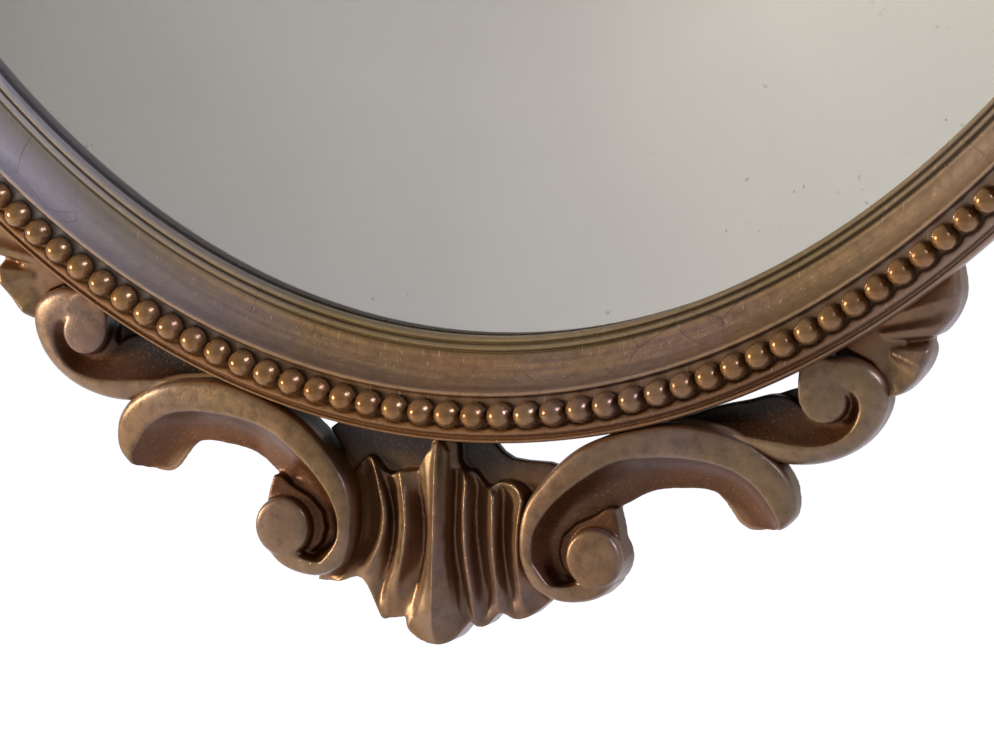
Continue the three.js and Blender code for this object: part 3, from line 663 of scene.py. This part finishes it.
# ---- bead course ----------------------------------------------------------------------------
class MIRROR_OT_beads(Operator):
    """Lay four lengths of the bead course in the channel"""
    bl_idname = "mirror.beads"
    bl_label = "Bead course"

    def execute(self, context):
        sizes = context.scene.mirror_sizes
        angles, length = bead_angles(sizes.bead_count)
        pitch = length / sizes.bead_count
        half = sizes.bead_width / MM / 2
        one = bmesh.new()
        # a bead is an egg 9 mm deep, cut flat 1 mm under its middle
        bmesh.ops.create_uvsphere(one, u_segments=12, v_segments=8, radius=1)
        bmesh.ops.scale(one, verts=one.verts, vec=(half, pitch * 0.493, 4.5))
        bmesh.ops.bisect_plane(one, geom=one.verts[:] + one.edges[:] + one.faces[:],
                               plane_co=(0, 0, -1.0), plane_no=(0, 0, -1), clear_outer=True)
        bmesh.ops.holes_fill(one, edges=[e for e in one.edges if e.is_boundary])
        bead = bpy.data.meshes.new("bead")
        one.to_mesh(bead)
        one.free()
        each = sizes.bead_count // 4
        for part in range(4):
            bm = bmesh.new()
            for i in range(part * each, (part + 1) * each):
                following = angles[i + 1] if i + 1 < len(angles) else 2 * math.pi
                angle = (angles[i] + following) / 2
                x, z = oval(angle, 0)
                x1, z1 = oval(angle, 1)
                across = Vector((x1 - x, 0, z1 - z)).normalized()
                up = Vector((0, -1, 0))
                turn = Matrix((across, up.cross(across), up)).transposed().to_4x4()
                count = len(bm.verts)
                bm.from_mesh(bead)
                bm.verts.ensure_lookup_table()
                matrix = Matrix.Translation(place(x, z, 18.9)) @ turn @ Matrix.Scale(MM, 4)
                bmesh.ops.transform(bm, matrix=matrix, verts=bm.verts[count:])
            piece = object_from(bm, f"beads_{part + 1}")
            finish_piece(piece, "mirror", "beads", finish("beads"), f"bead_course_{part + 1}")
        return {"FINISHED"}


# ---- large C scroll -------------------------------------------------------------------------
# Stations from the tip over the arch into the curl: the outer edge, the crest and the inner
# edge as x and z in millimetres from the oval's middle, then their heights.
C_SCROLL = [
    ((93.6, -425), (92.6, -425.2), (90.6, -425.5), 6.4, 7, 6.4),
    ((95.1, -424.1), (94.1, -424.2), (89.24, -425.59), 8, 8.9, 5.4),
    ((98, -420.8), (93.9, -420.9), (85.14, -426.09), 9, 10.6, 5.4),
    ((98.6, -416.6), (91.9, -417.3), (82.04, -424.69), 10.2, 11.4, 5.4),
    ((97.6, -411.6), (89.1, -413.6), (79.24, -421.29), 11.2, 12.2, 5.6),
    ((94.4, -407), (86, -411), (76.84, -418.19), 12.2, 13, 6),
    ((89.7, -403.4), (82.1, -408.8), (74.44, -416.59), 13, 13.8, 6.4),
    ((84.4, -400.7), (77.7, -407.5), (70.74, -416.19), 13.8, 14.6, 6.8),
    ((79, -399.1), (73, -406.8), (66.74, -416.39), 14.2, 15.2, 7.2),
    ((73.6, -398.4), (68.1, -406.6), (62.64, -416.79), 14.6, 15.6, 7.4),
    ((68, -398), (63.3, -406.8), (58.84, -417.59), 15, 16, 7.6),
    ((61.7, -398.5), (58.5, -407.3), (55.04, -419.19), 15.4, 16.4, 7.8),
    ((54.1, -400.5), (54.2, -408), (51.53, -421.37), 15.8, 16.8, 8.85),
    ((46, -403.5), (49.9, -409.4), (48.42, -422.95), 16.2, 17.2, 9.9),
    ((39.6, -406.9), (45.9, -411.5), (43.51, -425.42), 16.8, 17.6, 10.75),
    ((33.9, -411.8), (41.1, -415), (38.5, -427.4), 17.2, 18, 11.6),
    ((29.4, -417.1), (36, -419.3), (34.6, -430.9), 17.6, 18.4, 11.6),
    ((26, -422.1), (31.7, -424.1), (33.4, -434), 18, 18.8, 11.6),
    ((24.5, -427.5), (28.8, -429.1), (33.4, -436.6), 18.2, 19, 11.6),
    ((24.2, -432.8), (27.9, -433.4), (33.9, -438.6), 18.2, 19, 11.6),
    ((24.6, -437.6), (28.3, -437.3), (34.9, -440.4), 18, 19, 11.8),
    ((26.2, -442.3), (30.4, -440.6), (36.2, -441.9), 17.6, 18.8, 12.4),
    ((28.9, -445.5), (33.1, -443.6), (38.2, -443), 17.2, 18.4, 13.4),
    ((33.6, -447.8), (36.3, -444), (40.3, -442.1), 16.8, 18, 15),
    ((37.9, -448.3), (39.2, -443.6), (42.1, -441), 16.4, 17.6, 16),
    ((42.8, -447.6), (42.1, -442.6), (44.1, -439.6), 16, 17.2, 16.6),
    ((47, -445.7), (45.1, -441.6), (45.8, -438.4), 15.8, 17, 16.8),
    ((50.7, -442), (48.2, -439.7), (47, -436.6), 15.6, 17, 17),
]
C_LEDGE = [(49.4, -422.2), (47.0, -422.6), (44.2, -424.8), (38.6, -427.5), (34.9, -431.1),
           (33.9, -435.4), (35.1, -439.5), (38.9, -443.2), (44, -444), (49, -441.8),
           (51.2, -439.0), (51.9, -436.6), (51.6, -431.9), (50.8, -427.2), (50.0, -424.2)]
HEAD = [(100.4, -390.0), (100.0, -387.5), (99.9, -384.0), (100.3, -380.0), (102.0, -377.2),
        (105.0, -376.4), (109.0, -377.6), (112.0, -380.2), (113.0, -382.6), (111.6, -385.6),
        (108.0, -389.0), (104.0, -391.4), (101.8, -391.6)]
ARM = [
    ((65.3, -399.5), (64.7, -398.6), (62.8, -397.9), 11, 11.8, 10.6),
    ((73.5, -401.4), (72.1, -399.1), (68.9, -396.3), 11, 12.2, 9),
    ((80.8, -403), (79.6, -399.9), (76.2, -393.5), 11, 12.6, 8),
    ((88, -405), (86.9, -400.5), (83.7, -391.5), 10.6, 12.8, 7.6),
    ((93.9, -406.8), (93.3, -401.3), (90, -389.5), 10.2, 13, 7.6),
    ((100.3, -406.9), (98.8, -401.7), (95, -389.7), 9.8, 13, 7.8),
    ((106.5, -405.7), (103.3, -401.7), (98.8, -391.5), 9.6, 13, 8),
    ((112.3, -403.3), (107.7, -400.8), (102, -393.7), 9.6, 13, 8.2),
    ((117.2, -399.7), (111.6, -399.1), (105.7, -394.7), 9.8, 12.8, 8.4),
    ((120.8, -395.3), (114.6, -396.3), (108.9, -393.7), 10.2, 12.6, 8.6),
    ((123, -390.7), (116.4, -393), (110.8, -391.7), 10.4, 12.4, 9),
    ((123.6, -386.8), (117, -389.6), (111.9, -389.6), 10.9, 12.5, 9.6),
    ((123.1, -383.2), (116.1, -386.7), (112, -387.9), 11.4, 12.8, 11),
    ((120.5, -380.1), (113.9, -384.7), (110.8, -387.2), 12, 13.2, 12.6),
    ((116.8, -377.9), (111.2, -383.7), (109.2, -387.2), 12.4, 13.4, 13.2),
    ((112.7, -376.9), (109, -383.1), (108, -387.7), 12.6, 13.6, 13.4),
    ((108.4, -377.2), (106.7, -383.1), (107.2, -388.2), 12.8, 13.6, 13.6),
    ((104.2, -379), (104.4, -384.4), (106.8, -388.5), 12.8, 13.6, 13.8),
]


def station_at(stations, t):
    """The outer edge, crest and inner edge of a band as x and z, and their heights, at t."""
    return catmull([[*outer, *crest, *inner, *heights]
                    for outer, crest, inner, *heights in stations], t)


def carved_band(bm, stations, back, ease, hollow, crown, steps):
    """Sweeps a band: an eased outer edge, a crowned top up to the crest, then a cove."""
    rings = []
    for k in range(steps + 1):
        t = k / steps
        ox, oz, cx, cz, ix, iz, ho, hc, hi = station_at(stations, t)
        low = back[0] + (back[1] - back[0]) * t
        ring = [place(ox, oz, low), place(ox, oz, (low + ho - ease) / 2),
                place(ox, oz, ho - ease)]
        for f in (0.1, 0.24, 0.4, 0.58, 0.76, 0.9, 1.0):
            lift = ho + (hc - ho) * f + crown * 4 * f * (1 - f)
            lift -= ease * max(0.0, 1 - f / 0.24) ** 2 * 0.6
            ring.append(place(ox + (cx - ox) * f, oz + (cz - oz) * f, lift))
        for g in (0.06, 0.14, 0.24, 0.36, 0.5, 0.66, 0.82, 0.93, 1.0):
            depth = hi + (hc - hi) * (1 - g) ** hollow
            ring.append(place(cx + (ix - cx) * g, cz + (iz - cz) * g, depth))
        ring.append(place(ix, iz, low))
        rings.append(ring)
    loft(bm, rings)


def dome(bm, x, z, radius, back, height, edge):
    """A round boss with a softly domed top."""
    section = [(0, back), (radius, back), (radius, height - edge)]
    for i in range(1, 7):
        turn = math.pi / 2 * i / 6
        section.append((radius * 0.82 + radius * 0.18 * math.cos(turn),
                        height - edge + edge * 0.8 * math.sin(turn)))
    section += [(radius * 0.5, height - edge * 0.06), (0, height)]
    turned(bm, section, x, z)


def mark_cove_shade(piece, stations, boss, strength):
    """Writes how far each point lies in the cove, from the stations that drew the band, as the
    mask of the painted shade in the coves. The boss, with its middle, radius and lowest unshaded
    height, stays unshaded."""
    marks = []
    for k in range(241):
        ox, oz, cx, cz, ix, iz, ho, hc, hi = station_at(stations, k / 240)
        for f in (0.0, 0.35, 0.7, 0.95):
            marks.append((place(ox + (cx - ox) * f, oz + (cz - oz) * f, ho + (hc - ho) * f),
                          0.0, hc))
        for g in (0.08, 0.2, 0.4, 0.6, 0.8, 1.0):
            marks.append((place(cx + (ix - cx) * g, cz + (iz - cz) * g,
                                hi + (hc - hi) * (1 - g) ** 3), 1.0, hc))
    tree = KDTree(len(marks))
    for i, (spot, _, _) in enumerate(marks):
        tree.insert(spot, i)
    tree.balance()
    cove = piece.data.attributes.new("cove", "FLOAT", "POINT")
    x, z, radius, top = boss
    middle = place(x, z, 0)
    for vert in piece.data.vertices:
        height = -vert.co.y / MM
        _, i, _ = tree.find(vert.co)
        inside = marks[i][1] * min(1.0, max(0.0, (marks[i][2] - height - 0.15) / 0.8))
        if math.hypot(vert.co.x - middle.x, vert.co.z - middle.z) < radius * MM:
            inside *= min(1.0, max(0.0, (top - height) / 0.8))
        # the backs are plain
        cove.data[vert.index].value = 0.0 if vert.normal.y > 0.3 else strength * inside


class MIRROR_OT_scrolls(Operator):
    """Carve the two large C scrolls of the apron, and those of the crest"""
    bl_idname = "mirror.scrolls"
    bl_label = "C scrolls"

    def execute(self, context):
        back = 7.4
        curl = (45.2, -435.6)
        band, floor, ledge, boss = (bmesh.new() for _ in range(4))
        carved_band(band, C_SCROLL, (4, back), 1.7, 3.0, 0.3, 168)
        turned(floor, [(0, back), (11.6, back), (12.0, 8), (12.0, 11), (11.6, 11.5),
                       (0, 11.7)], 39.2, -434.6)
        slab(ledge, C_LEDGE, back, 13.7, 0.5)
        dome(boss, *curl, 8.0, back, 18.2, 2.4)
        piece = remeshed([band, floor, ledge, boss], "apron_scroll_right_carved")
        # the mask of the painted shade in the coves
        mark_cove_shade(piece, C_SCROLL, (*curl, 8.8, 15.2), 0.6)
        four_of(piece, "scroll", finish("carving"))
        return {"FINISHED"}


class MIRROR_OT_small_scrolls(Operator):
    """Carve the small scrolls that lie between the C scrolls and the ring"""
    bl_idname = "mirror.small_scrolls"
    bl_label = "Small scrolls"

    def execute(self, context):
        back = 3
        curl = (106.9, -388.4)
        band, floor, boss, head, web = (bmesh.new() for _ in range(5))
        slab(web, [(90, -390.0), (95, -388.0), (101, -386.0), (105, -387.0), (105, -392.0),
                   (90, -395.0)], back, 5.4, 0)
        carved_band(band, ARM, (4, back), 1.4, 2.2, 0.5, 120)
        slab(head, HEAD, back, 13.7, 0.9)
        turned(floor, [(0, back), (9.2, back), (9.2, 8.2), (8.8, 8.7), (0, 8.8)],
               108.6, -388.4)
        dome(boss, *curl, 6.4, back, 14.1, 1.7)
        piece = remeshed([band, floor, boss, head, web], "apron_small_scroll_right_carved")
        # the mask of the painted shade in the coves
        mark_cove_shade(piece, ARM, (*curl, 7.2, 11.8), 0.72)
        four_of(piece, "small_scroll", finish("carving"))
        return {"FINISHED"}


# ---- fluted shell ---------------------------------------------------------------------------
# Lines down the shell, from its left rim to its right one: x, z and height along each.
SHELL = [
    [(-32.4, -426.6, 8), (-32.3, -432.6, 10), (-33.2, -439.2, 11), (-34.4, -444.2, 11.5),
     (-36.3, -448, 11.5), (-37.5, -450.3, 10.4)],
    [(-24.5, -416.9, 11.5), (-23.6, -419.5, 10.2), (-22.2, -425.3, 10.7), (-21.4, -431.4, 11.3),
     (-22.4, -438.2, 11.7), (-26.1, -444.6, 13), (-30.0, -449.6, 13.2)],
    [(-21.1, -415.2, 12.6), (-18.9, -418.9, 14.6), (-16.7, -423.7, 16.9), (-15.1, -429.7, 17.7),
     (-16.1, -436.5, 17.7), (-18.8, -441.8, 16.6), (-22, -446.1, 14.4), (-23.1, -448.1, 13.2)],
    [(-16.9, -419.1, 12), (-16.2, -424.4, 11.1), (-14.6, -430.4, 11.7), (-14.6, -437, 12.1),
     (-15.8, -443.9, 12.3), (-17.5, -449.4, 12.1), (-18.6, -454.6, 13), (-17.6, -457.8, 13.2)],
    [(-13.3, -418.6, 13), (-12.8, -423.8, 14), (-11.6, -429.7, 15.4), (-11.5, -436.3, 15.8),
     (-12.9, -443.2, 15.6), (-14.8, -448.9, 15), (-15.2, -454.1, 14), (-15, -458, 13.2)],
    [(-12.4, -418, 14), (-9.7, -424.8, 17), (-8.6, -431.2, 18.1), (-9.1, -438, 18.1),
     (-10, -442.6, 17.5), (-11.6, -448.4, 15.8), (-11.8, -453.7, 14), (-11, -457.3, 13.6)],
    [(-7.5, -417.4, 13), (-6.3, -425.1, 11.7), (-5.3, -431.7, 12.1), (-5.4, -438.4, 12.3),
     (-6.5, -444.2, 12.5), (-8.9, -451.3, 13.6), (-10.3, -456.6, 13.6)],
    [(-6.6, -416, 13.6), (-5.3, -424.9, 13.6), (-4.3, -431.4, 14), (-4.2, -438, 14.4),
     (-5, -445.6, 14.6), (-7, -453.2, 14.6), (-8.6, -458.4, 14.8), (-9, -460.2, 14.4)],
    [(-4.5, -412.7, 14.6), (-3.3, -424.4, 15.6), (-2.6, -431, 16), (-2.4, -437.6, 16.4),
     (-3.2, -446.6, 16.6), (-5.1, -454.8, 16.4), (-6.2, -459.4, 15), (-4.9, -462.7, 15.2)],
    [(-0.6, -408.4, 15), (-0.5, -410.7, 17), (-0.3, -419.3, 18.2), (-0.1, -432.5, 19),
     (0.1, -445.7, 19.4), (0, -454.7, 19), (-0.2, -459.5, 17.6), (0.1, -463.4, 15.6)],
    [(1.6, -411.1, 14.4), (1.8, -419.8, 15), (2, -433, 15.8), (2.7, -443.9, 16.4),
     (4, -452.7, 16.2), (4.6, -458.7, 15), (4.2, -461.9, 15.2)],
    [(2.6, -412, 12.6), (2.7, -419, 13.2), (2.9, -433.1, 13.8), (3.8, -444, 14.6),
     (5.6, -451.8, 14.8), (6.4, -457.2, 14.8), (6.9, -458.9, 14.4)],
    [(3.4, -412.8, 11.5), (3.6, -417.9, 11.3), (3.6, -424.5, 11.7), (3.6, -433.2, 12.1),
     (4.4, -439.7, 12.3), (5.3, -444.1, 12.3), (6.9, -450.7, 13.4), (8.8, -456.6, 13.6)],
    [(5.9, -416.2, 14), (7.9, -418.7, 16.6), (8, -424.8, 17.7), (8.4, -431.8, 18.1),
     (8.9, -438.5, 17.9), (9.8, -445.2, 17.3), (10.2, -452.1, 15.6), (10.2, -455.9, 14),
     (10.3, -457.8, 13.4)],
    [(8.6, -416.4, 12), (9.2, -420.2, 10.9), (9.4, -425.9, 11.5), (9.8, -432.5, 11.9),
     (10.8, -438.2, 12.1), (12, -444.7, 12.3), (13.3, -449.9, 12.3), (13.3, -454.5, 13),
     (13.3, -457.3, 13.2)],
    [(12.7, -420.2, 13), (15.3, -421.8, 15.6), (16.1, -426.8, 17.1), (16.4, -433.4, 17.5),
     (16.8, -439.2, 17.3), (17.2, -445.5, 16.2), (17, -450.7, 14.6), (17.2, -453.6, 13.4)],
    [(16.5, -418.4, 13.6), (17.1, -421.2, 11.3), (17.2, -429.6, 11.7), (17.7, -436.2, 12.1),
     (18.8, -442.7, 12.3), (20, -448.4, 12.3), (21, -452.4, 13), (21.5, -454.8, 13.2)],
    [(21.2, -418.6, 13.4), (23.9, -421.8, 16), (23.7, -426.1, 17.1), (23.2, -432.8, 17.3),
     (23.4, -439.5, 16.9), (23.6, -445, 15.4), (24.1, -450.2, 13.8), (25.8, -453.5, 13.2)],
    [(24.5, -420.9, 11), (25, -426.8, 12), (25.3, -435.7, 12.6), (26, -442.2, 12.8),
     (27.6, -445.6, 12.6), (29.1, -448.3, 11.6), (30.2, -449.6, 10.6)],
]


def relief(bm, lines, back, columns, rows):
    """A carved front over lines that run side by side, closed by walls and a flat back."""
    hollow = 0.6  # how far a flute is from a flat slope between two lines
    tables = [[Vector(catmull(line, j / rows)) for j in range(rows + 1)] for line in lines]
    rings = []
    for i in range((len(lines) - 1) * columns + 1):
        low = min(i // columns, len(lines) - 2)
        u = i / columns - low
        front = []
        for j, (a, b) in enumerate(zip(tables[low], tables[low + 1])):
            across = catmull([table[j] for table in tables], i / columns / (len(lines) - 1))
            # a flute is hollow, so it climbs late and falls early, and its arrises are sharp
            curve = 1 - math.cos(math.pi / 2 * u) if b.z > a.z else math.sin(math.pi / 2 * u)
            rise = u * (1 - hollow) + curve * hollow
            front.append(place(across[0], across[1], a.z + (b.z - a.z) * rise))
        rings.append(front + [Vector((p.x, -back * MM, p.z)) for p in reversed(front)])
    loft(bm, rings)


class MIRROR_OT_shell(Operator):
    """Carve the fluted shell under the ring, and the one above it"""
    bl_idname = "mirror.shell"
    bl_label = "Shells"

    def execute(self, context):
        back = 6.4
        flutes, ground, neck = (bmesh.new() for _ in range(3))
        relief(flutes, SHELL, back, 4, 64)
        slab(ground, [(-28, -430), (25, -430), (27, -421.0), (32.4, -413.4), (29, -412.6),
                      (22.4, -412.7), (18.4, -412.4),
                      (15.6, -411.0), (13.6, -409.0), (11.0, -404.5), (-11.0, -404.5),
                      (-20.0, -406.6), (-31.0, -406.0), (-35.0, -409.0), (-31.0, -415.0)],
             back, 9.4, 0.5)
        slab(neck, [(-4.8, -416), (-3.6, -409), (-1.2, -406.5), (1.6, -406.5), (3.8, -409),
                    (4.4, -416)], back, 13, 0.8)
        piece = remeshed([flutes, ground, neck], "apron_shell_carved")
        upper = turned_over(piece, "crest_shell_carved", 2)
        finish_piece(piece, "mirror", "carved", finish("carving"), "apron_shell")
        finish_piece(upper, "mirror", "carved", finish("carving"), "crest_shell")
        return {"FINISHED"}


# ---- end leaves -----------------------------------------------------------------------------
# Lines from the leaf's root to its rim: start and end as x and z, then the heights at both.
LEAF = [
    ((118.0, -361.0), (138.9, -345.6), 8.6, 9.2),
    ((118.4, -363.4), (141.0, -350.0), 9, 10.8),
    ((118.8, -365.6), (142.2, -354.6), 9.2, 11.2),
    ((119.2, -367.4), (142.6, -358.6), 9.4, 11.8),
    ((120.4, -369.2), (141.6, -362.6), 9, 10.4),
    ((121.4, -370.4), (139.6, -366.4), 9.8, 12),
    ((122.6, -371.8), (137.0, -369.4), 9.4, 11),
    ((123.6, -373.0), (134.2, -371.0), 8.2, 7.6),
    ((124.0, -374.0), (135.0, -373.8), 9.4, 11),
    ((124.2, -375.4), (133.9, -377.8), 10, 12),
    ((124.0, -377.4), (131.2, -381.8), 9, 9.8),
    ((123.2, -380.4), (127.4, -385.6), 9.4, 10.4),
    ((120.4, -382.2), (124.0, -387.0), 9.0, 9.4),
]


class MIRROR_OT_leaves(Operator):
    """Carve the end leaves beside the small scrolls"""
    bl_idname = "mirror.leaves"
    bl_label = "End leaves"

    def execute(self, context):
        back = 3
        fan, root, web = (bmesh.new() for _ in range(3))
        lines = []
        for start, rim, low, high in LEAF:
            line = []
            for t in (0.0, 0.25, 0.5, 0.75, 0.93, 1.0):
                lift = low + (high - low) * min(1.0, t / 0.75) ** 0.8
                lift -= 1.8 if t == 1.0 else 0
                line.append((start[0] + (rim[0] - start[0]) * t,
                             start[1] + (rim[1] - start[1]) * t, lift))
            lines.append(line)
        relief(fan, lines, back, 4, 28)
        slab(root, [(108.0, -373.4), (111.0, -371.5), (117.0, -367.6), (121.0, -365.9),
                    (125.0, -363.0), (128.0, -368.0), (128.5, -376.0), (127.0, -384.5),
                    (124.6, -387.0), (122.0, -383.0), (118.6, -378.5), (113.6, -376.4)],
             back, 9.2, 0.6)
        slab(web, [(107.5, -374.4), (112.0, -371.5), (116.0, -374.0), (115.0, -379.5),
                   (108.5, -379.5)], 3.9, 8.0, 0)
        piece = remeshed([fan, root, web], "apron_leaf_right_carved")
        four_of(piece, "leaf", finish("carving"))
        return {"FINISHED"}


# ---- plate and hardware ---------------------------------------------------------------------
class MIRROR_OT_plate(Operator):
    """Cut the glass and its silvering to the oval, and finish the board behind them"""
    bl_idname = "mirror.plate"
    bl_label = "Plate and board"

    def execute(self, context):
        outline = [oval(2 * math.pi * i / 288, -12.9) for i in range(288)]
        for name, back, front, ease, look, node_name in (
                ("plate_glass", 3.2, 6.2, 0.3, "glass", "mirror_glass"),
                ("plate_silvering", 3.03, 3.16, 0.0, "silver", "silver_coat")):
            bm = bmesh.new()
            slab(bm, outline, back, front, ease)
            piece = object_from(bm, name, smooth=False)
            finish_piece(piece, "mirror", look, finish(look), node_name)
        dress("backing_board", "board")
        return {"FINISHED"}


class MIRROR_OT_hardware(Operator):
    """Give the buttons, hanger, screws and pads their finishes"""
    bl_idname = "mirror.hardware"
    bl_label = "Hanger, buttons and pads"

    def execute(self, context):
        for i in range(1, 5):
            dress(f"turn_button_{i}", "brass")
            dress(f"button_screw_{i}", "steel")
        for name, look in (("hanger_plate", "brass"), ("hanger_ring", "brass"),
                           ("hanger_screw_1", "steel"), ("hanger_screw_2", "steel"),
                           ("wall_pad_right", "felt"), ("wall_pad_left", "felt")):
            dress(name, look)
        return {"FINISHED"}


def dress(name, look):
    """Puts a finish on a piece that comes from the CAD model."""
    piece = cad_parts[name]
    if not piece.data.materials:
        piece.data.materials.append(None)
    for slot in piece.material_slots:
        slot.link = "OBJECT"
        slot.material = finish(look)


# ---- studio ---------------------------------------------------------------------------------
def lamp(name, colour, power, size, at, aim):
    """A square soft lamp that looks at a point."""
    data = bpy.data.lights.new(name, "AREA")
    data.color = colour[:3]
    data.energy = power
    data.size = size
    piece = bpy.data.objects.new(name, data)
    piece.location = at
    piece.rotation_euler = (aim - at).to_track_quat("-Z", "Y").to_euler()
    bpy.context.scene.collection.objects.link(piece)


def seen_directly(tree):
    """1 for what the camera sees, at once, in a mirror or through glass."""
    rays = [node(tree, "LightPath", out=f"Is {kind} Ray")
            for kind in ("Camera", "Glossy", "Transmission")]
    total = weighed(tree, *((ray, 1.0) for ray in rays))
    return node(tree, "Math", {0: total, 1: 1.0}, operation="MINIMUM")


class MIRROR_OT_studio(Operator):
    """Set the floor, the world, the lamps and the camera"""
    bl_idname = "mirror.studio"
    bl_label = "Studio"

    def execute(self, context):
        scene = context.scene
        low = CAD_BOX[0].z - scene.mirror_sizes.floor_drop
        bm = bmesh.new()
        bmesh.ops.create_grid(bm, x_segments=1, y_segments=1, size=6)
        bmesh.ops.translate(bm, verts=bm.verts, vec=(0, 0, low))
        floor = object_from(bm, "floor", smooth=False)
        material, tree, _ = fresh_material("pale_floor")
        paper = node(tree, "BsdfDiffuse", {"Color": srgb("#f4f3f1")})
        lit = node(tree, "Emission", {"Color": srgb("#ffffff"), "Strength": 0.88})
        both = node(tree, "AddShader", {0: paper, 1: lit})
        mix = node(tree, "MixShader", {0: seen_directly(tree), 1: paper, 2: both})
        node(tree, "OutputMaterial", {"Surface": mix})
        floor.data.materials.append(material)

        world = bpy.data.worlds.new("studio")
        scene.world = world
        world.use_nodes = True
        tree = world.node_tree
        tree.nodes.clear()
        fill = node(tree, "Background", {"Color": srgb("#efedf0"), "Strength": 0.1})
        white = node(tree, "Background", {"Color": srgb("#ffffff"), "Strength": 1.0})
        mix = node(tree, "MixShader", {0: seen_directly(tree), 1: fill, 2: white})
        node(tree, "OutputWorld", {"Surface": mix})

        aim = place(0, -410, 10)
        lamp("warm_key", srgb("#ffe8cc"), 14.5, 0.2,
             aim + Vector((-0.89, -0.45, 0.05)) * 0.95, aim)
        lamp("cool_side", srgb("#c4caff"), 33, 0.4,
             aim + Vector((0.76, -0.12, 0.62)) * 1.5, aim)

        data = bpy.data.cameras.new("camera")
        data.sensor_width = SENSOR
        data.lens = FOCAL_LENGTH
        data.clip_start, data.clip_end = 0.05, 50
        camera = bpy.data.objects.new("camera", data)
        right = Vector((0.91226, 0.40928, 0.01642))
        down = Vector((0.08481, -0.14952, -0.98512))
        ahead = Vector((-0.40074, 0.90007, -0.17111))
        turn = Matrix((right, -down, -ahead)).transposed().to_4x4()
        camera.matrix_world = Matrix.Translation(
            Vector((751.6, -1667.1, -470.8)) * MM) @ turn
        scene.collection.objects.link(camera)
        scene.camera = camera
        scene.view_settings.view_transform = "Standard"
        return {"FINISHED"}


class MIRROR_PT_pieces(Panel):
    """Lists the pieces of the mirror"""
    bl_idname = "MIRROR_PT_pieces"
    bl_label = "Oval mirror"
    bl_space_type = "VIEW_3D"
    bl_region_type = "UI"
    bl_category = "Mirror"

    def draw(self, context):
        layout = self.layout
        for group in (context.scene.mirror_sizes, context.scene.mirror_colours):
            for name in group.__annotations__:
                layout.prop(group, name)
        for operator in OPERATORS:
            layout.operator(operator.bl_idname)


OPERATORS = (
    MIRROR_OT_moulding,
    MIRROR_OT_beads,
    MIRROR_OT_scrolls,
    MIRROR_OT_small_scrolls,
    MIRROR_OT_shell,
    MIRROR_OT_leaves,
    MIRROR_OT_plate,
    MIRROR_OT_hardware,
    MIRROR_OT_studio,
)
CLASSES = (MirrorSizes, MirrorColours, *OPERATORS, MIRROR_PT_pieces)


def register():
    for cls in CLASSES:
        bpy.utils.register_class(cls)
    bpy.types.Scene.mirror_sizes = PointerProperty(type=MirrorSizes)
    bpy.types.Scene.mirror_colours = PointerProperty(type=MirrorColours)


def unregister():
    del bpy.types.Scene.mirror_colours
    del bpy.types.Scene.mirror_sizes
    for cls in reversed(CLASSES):
        bpy.utils.unregister_class(cls)


def main():
    register()
    for operator in OPERATORS:
        group, name = operator.bl_idname.split(".")
        getattr(getattr(bpy.ops, group), name)()


if __name__ == "__main__":
    main()
